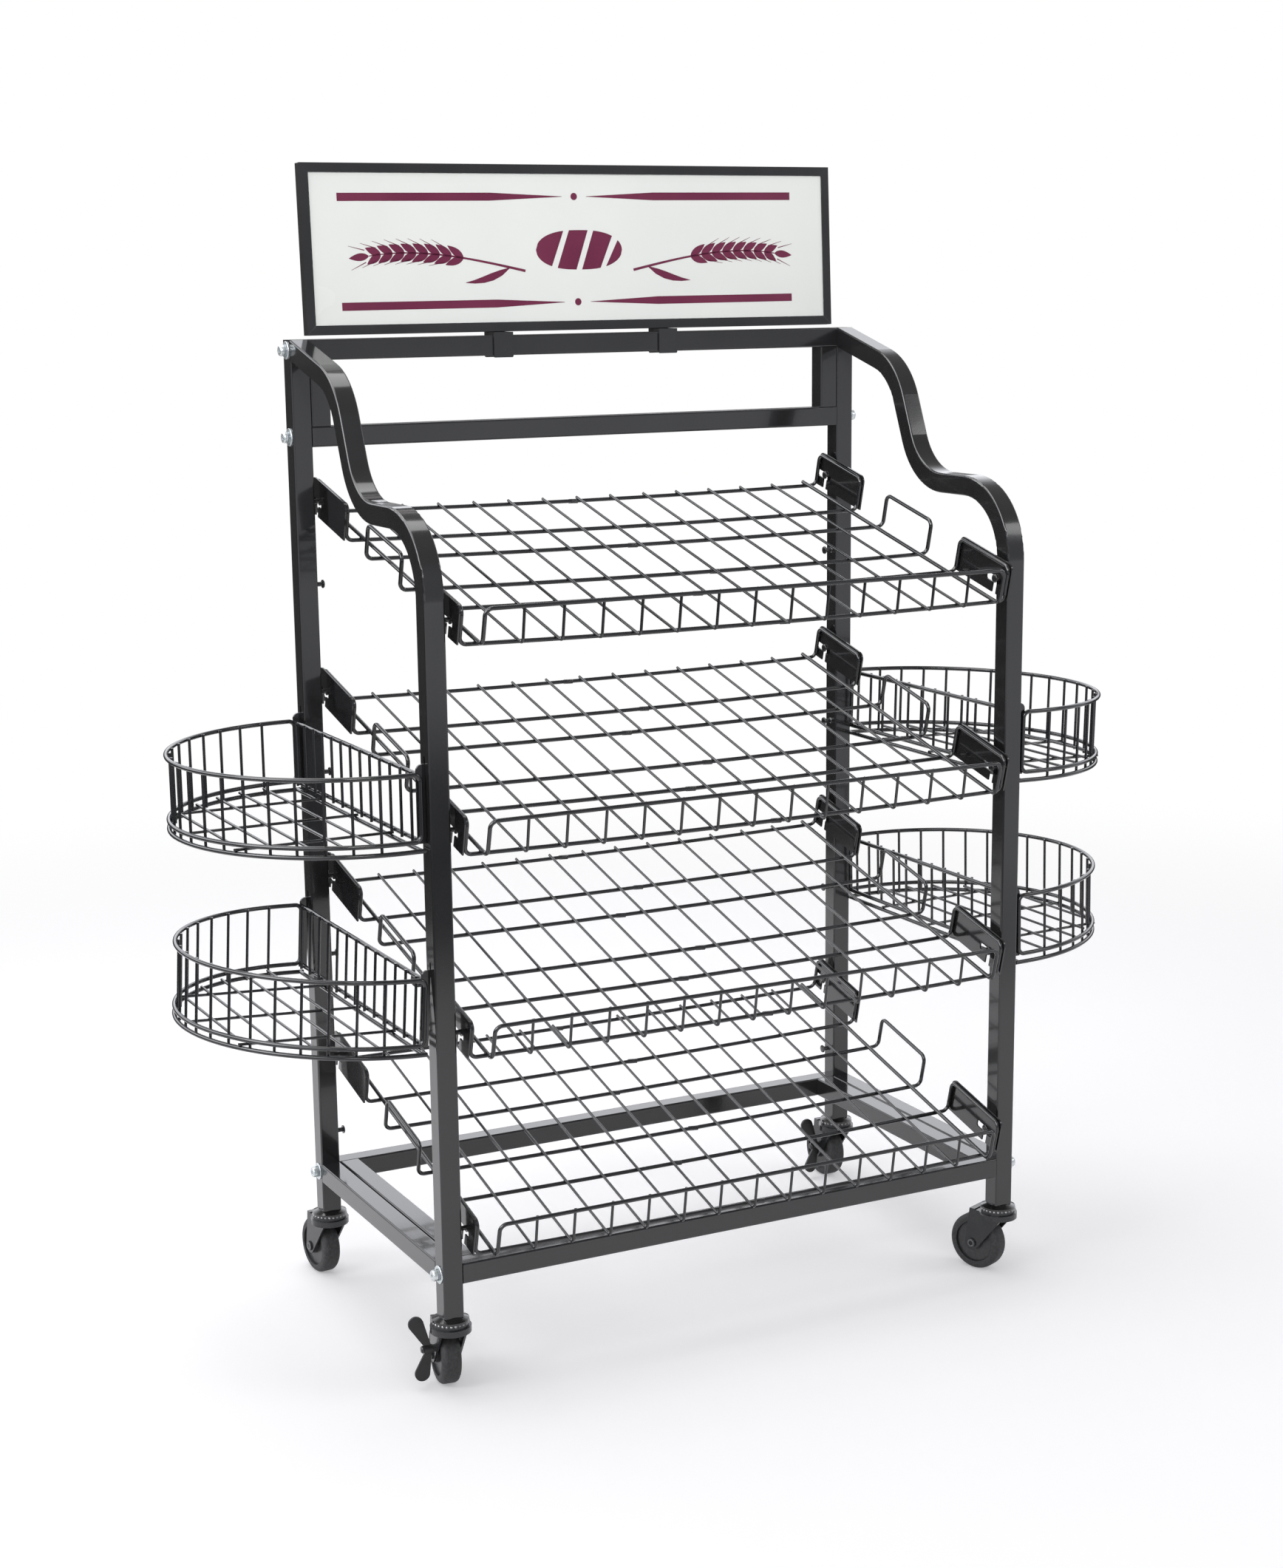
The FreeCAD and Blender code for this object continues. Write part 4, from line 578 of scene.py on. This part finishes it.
nugget_shape = bmesh.new()
bmesh.ops.create_icosphere(nugget_shape, subdivisions=1, radius=1)
nugget = solid("nugget", nugget_shape)
nugget_unit = 0.001  # a nugget's swell is its three half lengths in millimetres
turn_step = 0.7  # no two nuggets beside each other are turned alike
collar = turned("collar", [(0.0026, -0.0065), (0.00305, -0.0058), (0.00305, 0.0058),
                           (0.0026, 0.0065)], facets=20)
for number, level in enumerate(shelf_levels, 1):
    shelf = f"shelf_{number}"
    welds = []
    for row in cross_wires:
        for wire, x in enumerate(long_wire_x):
            welds.append((on_shelf(level, x, row, sagging(x) + weld_rise),
                          (slope, 0, turn_step * wire + row), crossing_nugget))
    for wire, x in list(enumerate(long_wire_x))[1:-1]:
        welds.append((on_shelf(level, x, *lip_weld), (slope, 0, wire), lip_nugget))
    for side in sides.values():
        for row in cross_wires[:2] + cross_wires[-2:]:
            welds.append((on_shelf(level, side * hanger_x, row, hanger_weld_height),
                          (slope, 0, 0), hanger_nugget))
    welded(f"{shelf}_welds", nugget, welds, shelf, nugget_unit)
    splices = []
    for turn, row in enumerate(cross_wires):
        x = splice_stagger * (-1) ** turn + shelf_shift * (number - 2)
        splices.append((on_shelf(level, x, row, sagging(x) - splice_drop),
                        (slope, math.pi / 2, 0), as_made))
    welded(f"{shelf}_splices", collar, splices, shelf)
    dress(wire_black, f"{shelf}_loops", f"{shelf}_grid")
    dress(plate_black, f"{shelf}_hangers")


# ---- Side baskets --------------------------------------------------------------------------
# Half-round baskets of 5.5 and 3.5 mm wire, with flat hook strips that enter slots in the
# posts. Uprights are welded inside the rim and both bottom rings, and the floor wires on ribs.

basket_wire = 0.0055
hook_thickness = 0.003
hook_seam = 0.0003
hook_rise = 0.011
wall_height = 0.078
ring_drop = 0.0109
ring_levels = (0.0, -wall_height, -wall_height - ring_drop)
standoff = 0.0075  # back wires from the post
round_middle = 0.0215  # middle of the half round from the post
weld_inset = 0.003  # welds of the uprights, inside the middle of the ring's wire
weld_reach = post_y + (hook_thickness + basket_wire) / 2 - weld_inset
curve_uprights = 19
back_uprights = 13
back_pitch = 0.032
back_levels = (-0.0012, -wall_height)
ribs = (-0.115, 0.0, 0.115)
floor_wires = 5
floor_pitch = 0.035
floor_weld_level = -0.0827
upright_nugget = (1.3, 2.6, 2.4)
floor_nugget = (2.4, 2.4, 1.0)
upper_rim = 0.7538
rims = {"upper": upper_rim, "lower": upper_rim - shelf_pitch}
leans = {("upper", "left"): 0.0, ("upper", "right"): -1.4,
         ("lower", "left"): 3.4, ("lower", "right"): 1.1}


def on_basket(row, hand, out, along, height):
    """A point on a basket: out from the post, along the rack's depth, and up from its rim.

    A basket leans about its hooks, and one that leans out rests its foot on the post.
    """
    lean = math.radians(leans[row, hand])
    stand_out = max(0.0, (hook_rise + wall_height + basket_wire / 2) * math.sin(-lean))
    away = out - hook_seam
    above = height - hook_rise
    x = hook_seam + away * math.cos(lean) - above * math.sin(lean) + stand_out
    z = hook_rise + away * math.sin(lean) + above * math.cos(lean)
    side = sides[hand]
    return (side * (post_x + tube / 2 + x), side * along - setback, rims[row] + z)


for row, hand in leans:
    basket = f"basket_{row}_{hand}"
    facing = 0 if hand == "right" else math.pi
    welds = []
    for number in range(1, curve_uprights + 1):
        angle = math.pi * (number / (curve_uprights + 1) - 0.5)
        for level in ring_levels:
            welds.append((on_basket(row, hand, round_middle + weld_reach * math.cos(angle),
                                    weld_reach * math.sin(angle), level),
                          (0, 0, angle + facing), upright_nugget))
    for number in range(back_uprights):
        along = back_pitch * (number - (back_uprights - 1) / 2)
        for level in back_levels:
            welds.append((on_basket(row, hand, standoff + weld_inset, along, level),
                          (0, 0, 0), upright_nugget))
    for rib in ribs:
        for number in range(1, floor_wires + 1):
            out = floor_pitch * number
            if math.hypot(rib, out) < weld_reach:
                welds.append((on_basket(row, hand, round_middle + out, rib,
                                        floor_weld_level), (0, 0, 0.4 * out), floor_nugget))
    welded(f"{basket}_welds", nugget, welds, basket, nugget_unit)
    dress(wire_black, f"{basket}_rings", f"{basket}_wires")
    dress(plate_black, f"{basket}_hooks")


# ---- Header sign ---------------------------------------------------------------------------
# A mitred frame of black flat bar holds a white sheet with maroon rules, dots and two ears of
# wheat round a loaf, cut from thin film. It leans back on two saddle clips over the top rail.

sign_low, sign_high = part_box("sign_frame")
sign_half = sign_high.x
sign_lean = math.radians(2.9)
sign_height = 0.2085
sign_depth = 0.014
sign_border = 0.0115
sign_foot = (0.0, sign_low.y, sign_low.z + sign_depth * math.sin(sign_lean))
panel_front = 0.0015  # sheet behind the front edges of the frame
film_front = panel_front - 0.00012
film_back = panel_front - 0.00002


def on_sign(across, height, depth):
    """A point on the sign: across, up its face, and behind its front edges."""
    x, y, z = sign_foot
    return (x + across, y + depth * math.cos(sign_lean) + height * math.sin(sign_lean),
            z + height * math.cos(sign_lean) - depth * math.sin(sign_lean))


def sign_bar_coat():
    """The tube's black, with a scribed line where the bars meet at each corner."""
    material, sheet = finish("sign_bar_black")
    place = sheet.node("ShaderNodeTexCoord", output="Object")
    x, _, z = axes(sheet, place)
    from_end = sign_half - x.sum("ABSOLUTE", x)
    up_face = (z - sign_foot[2]) * (1 / math.cos(sign_lean))
    from_edge = up_face.sum("MINIMUM", up_face, sign_height - up_face)
    off_mitre = from_end - from_edge
    unscribed = off_mitre.sum("ABSOLUTE", off_mitre).between(0.0002, 0.0008)
    cloud = noise(sheet, place, 11.0, 3.0)
    peel = noise(sheet, place, 420.0, 1.0)
    tone = clouded(cloud, (0.0125, 0.0125, 0.0135, 1), (0.0195, 0.0195, 0.0205, 1))
    surface(sheet, Base_Color=tone, Roughness=0.12 + 0.08 * cloud,
            Specular_IOR_Level=0.6, Coat_Weight=0.3, Coat_Roughness=0.05,
            Normal=raised(sheet, peel * 0.3 + unscribed, 0.00035, 0.5))
    return material


def sheet_white():
    """Opal white sheet: even, glossy, with the faintest cloud and a few dust specks."""
    material, sheet = finish("sign_white")
    place = sheet.node("ShaderNodeTexCoord", output="Object")
    cloud = noise(sheet, place, 5.0, 3.0)
    dust = noise(sheet, place, 650.0, 1.0).between(0.79, 0.83)
    tone = clouded(cloud, (0.85, 0.87, 0.85, 1), (0.88, 0.90, 0.875, 1))
    surface(sheet, Base_Color=(dust * 0.25).tint(tone, (0.55, 0.55, 0.53, 1)),
            Roughness=0.22 + 0.08 * cloud, Specular_IOR_Level=0.35)
    return material


def maroon_film():
    """Maroon film, its colour a little uneven under its satin face."""
    material, sheet = finish("maroon_film")
    place = sheet.node("ShaderNodeTexCoord", output="Object")
    cloud = noise(sheet, place, 14.0, 3.0)
    satin = noise(sheet, place, 900.0, 1.0)
    tone = clouded(cloud, (0.145, 0.012, 0.050, 1), (0.170, 0.018, 0.060, 1))
    surface(sheet, Base_Color=tone, Roughness=0.32 + 0.08 * cloud, Specular_IOR_Level=0.4,
            Normal=raised(sheet, satin, 0.00003, 0.3))
    return material


def cut_film(name, outlines, material):
    """Shapes cut from film and laid on the sheet, each an outline in panel millimetres."""
    shape = bmesh.new()
    for outline in outlines:
        front, rear = (
            [shape.verts.new(on_sign(across / 1000, sign_border + height / 1000, depth))
             for across, height in outline] for depth in (film_front, film_back))
        shape.faces.new(front)
        shape.faces.new(rear[::-1])
        bridge(shape, front, rear)
    piece = solid(name, shape, smooth=False)
    piece.data.materials.append(material)
    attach(piece, "sign")


def disc(across, height, radius):
    facets = 36
    return [(across + radius * math.cos(math.tau * number / facets),
             height + radius * math.sin(math.tau * number / facets))
            for number in range(facets)]


def tapered_rule(end, shoulder, tip, height):
    """A rule with one square end and one long point, a little higher on the right."""
    rise = 0.0045
    half_width = 5
    half_tip = 0.25

    def edge(across, offset):
        return (across, height + rise * across + offset)
    return [edge(end, -half_width), edge(shoulder, -half_width), edge(tip, -half_tip),
            edge(tip, half_tip), edge(shoulder, half_width), edge(end, half_width)]


def grain(foot, aim, length):
    """The pointed oval of one grain, from its foot along an angle in degrees."""
    half_width = 4.75
    steps = 12
    heading = math.radians(aim)
    along = (math.cos(heading), math.sin(heading))
    aside = (-along[1], along[0])
    outline = []
    for edge in (1, -1):
        for number in range(steps):
            share = number / steps if edge > 0 else 1 - number / steps
            bulge = edge * half_width * math.sin(math.pi * share ** 0.8) ** 0.9
            outline.append((foot[0] + along[0] * length * share + aside[0] * bulge,
                            foot[1] + along[1] * length * share + aside[1] * bulge))
    return outline


def ribbon(points, widths):
    """A strip of changing width along a line of points."""
    left_edge = []
    right_edge = []
    for number, (across, height) in enumerate(points):
        before = points[max(number - 1, 0)]
        after = points[min(number + 1, len(points) - 1)]
        run = math.hypot(after[0] - before[0], after[1] - before[1])
        aside = (-(after[1] - before[1]) / run, (after[0] - before[0]) / run)
        half = widths[number] / 2
        left_edge.append((across + aside[0] * half, height + aside[1] * half))
        right_edge.append((across - aside[0] * half, height - aside[1] * half))
    return left_edge + right_edge[::-1]


def wheat_ear(side):
    """Stem, leaf and ear, curving outwards from beside the loaf."""
    steps = 40
    first_grain = 17
    stem = []
    for number in range(steps + 1):
        share = number / steps
        stem.append((side * (78 + 214 * share), 64 + 46 * share - 26 * share ** 3))
    shapes = [ribbon(stem, [3.4 - 2.2 * number / steps for number in range(steps + 1)])]
    for number in range(first_grain, steps + 1, 3):
        here, after = stem[number - 1], stem[number]
        course = math.degrees(math.atan2(after[1] - here[1], after[0] - here[0]))
        length = 27 - 0.22 * (number - first_grain)
        for lean in (27, -27):
            shapes.append(grain(here, course + lean, length))
            turn = math.radians(course + lean * 0.72)
            root = (here[0] + length * math.cos(turn), here[1] + length * math.sin(turn))
            point = (root[0] + 22 * math.cos(turn), root[1] + 22 * math.sin(turn))
            shapes.append(ribbon([root, point], [1.3, 0.4]))
    shapes.append(grain(stem[-1], course, 27))
    leaf = [(side * (100 + 62 * share), 68 - 34 * share + 16 * share ** 2)
            for share in (0, 0.2, 0.4, 0.6, 0.8, 1)]
    shapes.append(ribbon(leaf, [1.0, 7.5, 9.5, 8.0, 4.5, 0.5]))
    return shapes


def loaf():
    """A long loaf seen from above, its crust cut by three slanting slashes."""
    half_length = 62
    half_width = 25
    middle = 90
    gap = 4  # half the width of a slash
    slant = 9
    steps = 14
    cuts = (-half_length, -27, 8, 43, half_length)
    shapes = []
    for start, end in zip(cuts, cuts[1:]):
        at_left = start == -half_length
        at_right = end == half_length
        low = start if at_left else start + gap
        high = end if at_right else end - gap
        outline = []
        for edge in (1, -1):
            for number in range(steps + 1):
                share = number / steps if edge > 0 else 1 - number / steps
                shift = edge * slant * (share if at_left else 1 - share if at_right else 1)
                across = low + (high - low) * share + shift
                across = min(half_length, max(-half_length, across))
                width = half_width * (1 - (abs(across) / half_length) ** 2.6) ** 0.5
                outline.append((across, middle + edge * width))
        shapes.append(outline)
    return shapes


dress(sign_bar_coat(), "sign_frame")
dress(sheet_white(), "sign_panel")
dress(plate_black, "sign_clips")
maroon = maroon_film()
rules = []
for height, left_shoulder, left_tip, dot, right_tip, right_shoulder in (
        (157.3, -125, -22.6, -5.2, 12.4, 110), (24.0, -119, -23.6, -4.3, 13.9, 113)):
    rules.append(tapered_rule(-330.8, left_shoulder, left_tip, height))
    rules.append(tapered_rule(317.5, right_shoulder, right_tip, height))
    rules.append(disc(dot, height, 4.6))
cut_film("sign_rules", rules, maroon)
cut_film("sign_wheat", wheat_ear(-1) + wheat_ear(1), maroon)
cut_film("sign_loaf", loaf(), maroon)


# ---- Casters -------------------------------------------------------------------------------
# Twin-race swivel casters: a pressed black fork on a ring of bearing balls, a dark grey wheel on
# a hollow rivet, and on two of them a wing-shaped brake lever moulded in black plastic.

swivels = {"front_left": (-1, -1, 82), "front_right": (1, -1, 112),
           "rear_left": (-1, 1, 96), "rear_right": (1, 1, 90)}
trail = 0.030
axle_height = 0.0375
wheel_centre = 0.0270
rivet_bore = 0.0028
rivet_rim = 0.0049
ball_radius = 0.0019
ball_count = 26
ball_reach = 0.0213
seam_height = 0.0898  # middle of the balls, between the two races


def caster_sheet(name, corner):
    """A new material and the place on the caster: along its trail, across it, and upwards."""
    across, along, swivel = swivels[corner]
    material, sheet = finish(f"{name}_{corner}")
    place = sheet.node("ShaderNodeTexCoord", output="Object")
    local = sheet.node("ShaderNodeMapping", {"vector_type": "TEXTURE"}, {
        "Vector": place, "Location": (across * post_x, along * post_y - setback, 0),
        "Rotation": (0, 0, math.radians(swivel))})
    return material, sheet, local, axes(sheet, local)


def from_axle(parts):
    """Distance from the middle of the wheel's axle."""
    behind = parts[0] - trail
    above = parts[2] - axle_height
    squares = behind * behind + above * above
    return squares.sum("POWER", squares, 0.5)


def fork_coat(corner):
    """Gloss black on pressed steel, the rivet's bright rolled edge, and a bore of painted shade.
    """
    material, sheet, local, parts = caster_sheet("fork_black", corner)
    reach = from_axle(parts)
    # Painted shade: the rivet's open bore is coloured near black and left without coat, in place
    # of a hole.
    bore = 1.0 - reach.between(rivet_bore - 0.0002, rivet_bore + 0.0002)
    rolled = (reach.between(rivet_bore + 0.0002, rivet_bore + 0.0006)
              - reach.between(rivet_rim - 0.0003, rivet_rim + 0.0003))
    cloud = noise(sheet, local, 40.0, 3.0)
    specks = noise(sheet, local, 1100.0, 1.0).between(0.72, 0.78)
    peel = noise(sheet, local, 500.0, 1.0)
    tone = clouded(cloud, (0.020, 0.021, 0.023, 1), (0.031, 0.032, 0.035, 1))
    dusty = (specks * 0.4).tint(tone, (0.16, 0.16, 0.165, 1))
    worn = (rolled * 0.7).tint(dusty, (0.20, 0.21, 0.22, 1))
    surface(sheet, Base_Color=bore.tint(worn, grey(0.002)),
            Metallic=rolled * 0.6, Roughness=0.20 + 0.12 * cloud + 0.3 * specks,
            Specular_IOR_Level=0.4, Coat_Weight=0.25 - 0.25 * bore, Coat_Roughness=0.05,
            Normal=raised(sheet, rolled + 0.08 * peel, 0.0007))
    return material


def wheel_compound(corner):
    """Dark grey plastic centre, then a rubber tyre with a mould seam and scuffs."""
    material, sheet, local, parts = caster_sheet("wheel", corner)
    reach = from_axle(parts)
    tyre = reach.between(wheel_centre - 0.0002, wheel_centre + 0.0002)
    # Painted shade: the groove between centre and tyre is sunk by the bump and also coloured
    # darker, as its shade.
    shaded_groove = (reach.between(wheel_centre - 0.0009, wheel_centre - 0.0004)
              - reach.between(wheel_centre + 0.0002, wheel_centre + 0.0007))
    seam = 1.0 - parts[1].sum("ABSOLUTE", parts[1]).between(0.0001, 0.0004)
    scuffs = noise(sheet, local, 260.0, 4.0)
    scuffed = scuffs.between(0.35, 0.7)
    specks = noise(sheet, local, 900.0, 1.0).between(0.70, 0.76)
    centre_tone = scuffed.tint((0.044, 0.045, 0.048, 1), (0.062, 0.063, 0.066, 1))
    tyre_tone = scuffed.tint((0.030, 0.030, 0.032, 1), (0.052, 0.052, 0.054, 1))
    dusty = (specks * 0.5).tint(tyre.tint(centre_tone, tyre_tone), grey(0.20))
    surface(sheet, Base_Color=(shaded_groove * 0.45).tint(dusty, grey(0.012)),
            Roughness=0.30 + 0.30 * tyre + 0.12 * scuffs, Specular_IOR_Level=0.5,
            Normal=raised(sheet, tyre * seam * 0.5 - shaded_groove + 0.2 * scuffs, 0.0005, 0.7))
    return material


def lever_plastic():
    """Black plastic: glossy, with a fine moulded texture."""
    material, sheet = finish("lever_black")
    place = sheet.node("ShaderNodeTexCoord", output="Object")
    texture = noise(sheet, place, 1300.0, 1.0)
    cloud = noise(sheet, place, 60.0, 2.0)
    tone = clouded(cloud, (0.006, 0.006, 0.007, 1), (0.011, 0.011, 0.012, 1))
    surface(sheet, Base_Color=tone, Roughness=0.24 + 0.12 * cloud, Specular_IOR_Level=0.5,
            Normal=raised(sheet, texture, 0.00005, 0.5))
    return material


ball_shape = bmesh.new()
bmesh.ops.create_icosphere(ball_shape, subdivisions=2, radius=1)
ball = solid("ball", ball_shape)
ball_steel = zinc_plate("ball_steel", (0.20, 0.20, 0.21, 1), gloss=0.16)
for corner, (across, along, _) in swivels.items():
    dress(fork_coat(corner), f"caster_fork_{corner}")
    dress(wheel_compound(corner), f"caster_wheel_{corner}")
    race = []
    for number in range(ball_count):
        angle = math.tau * number / ball_count
        race.append(((across * post_x + ball_reach * math.cos(angle),
                      along * post_y - setback + ball_reach * math.sin(angle), seam_height),
                     (0, 0, 0), as_made))
    balls = set_out(f"bearing_balls_{corner}", ball, race, ball_steel, f"fork_{corner}",
                    ball_radius)
dress(lever_plastic(), "brake_lever_front_left", "brake_lever_rear_right")
mount_black = black_coat("mount_black", (0.0120, 0.0120, 0.0130, 1), (0.0200, 0.0200, 0.0210, 1),
                         gloss=0.12, peel_scale=480.0, peel_depth=0.00010)
dress(mount_black, "caster_mounts")

for pattern in (bolt, flat, spring, stud, nugget, collar, ball):
    bpy.data.objects.remove(pattern)
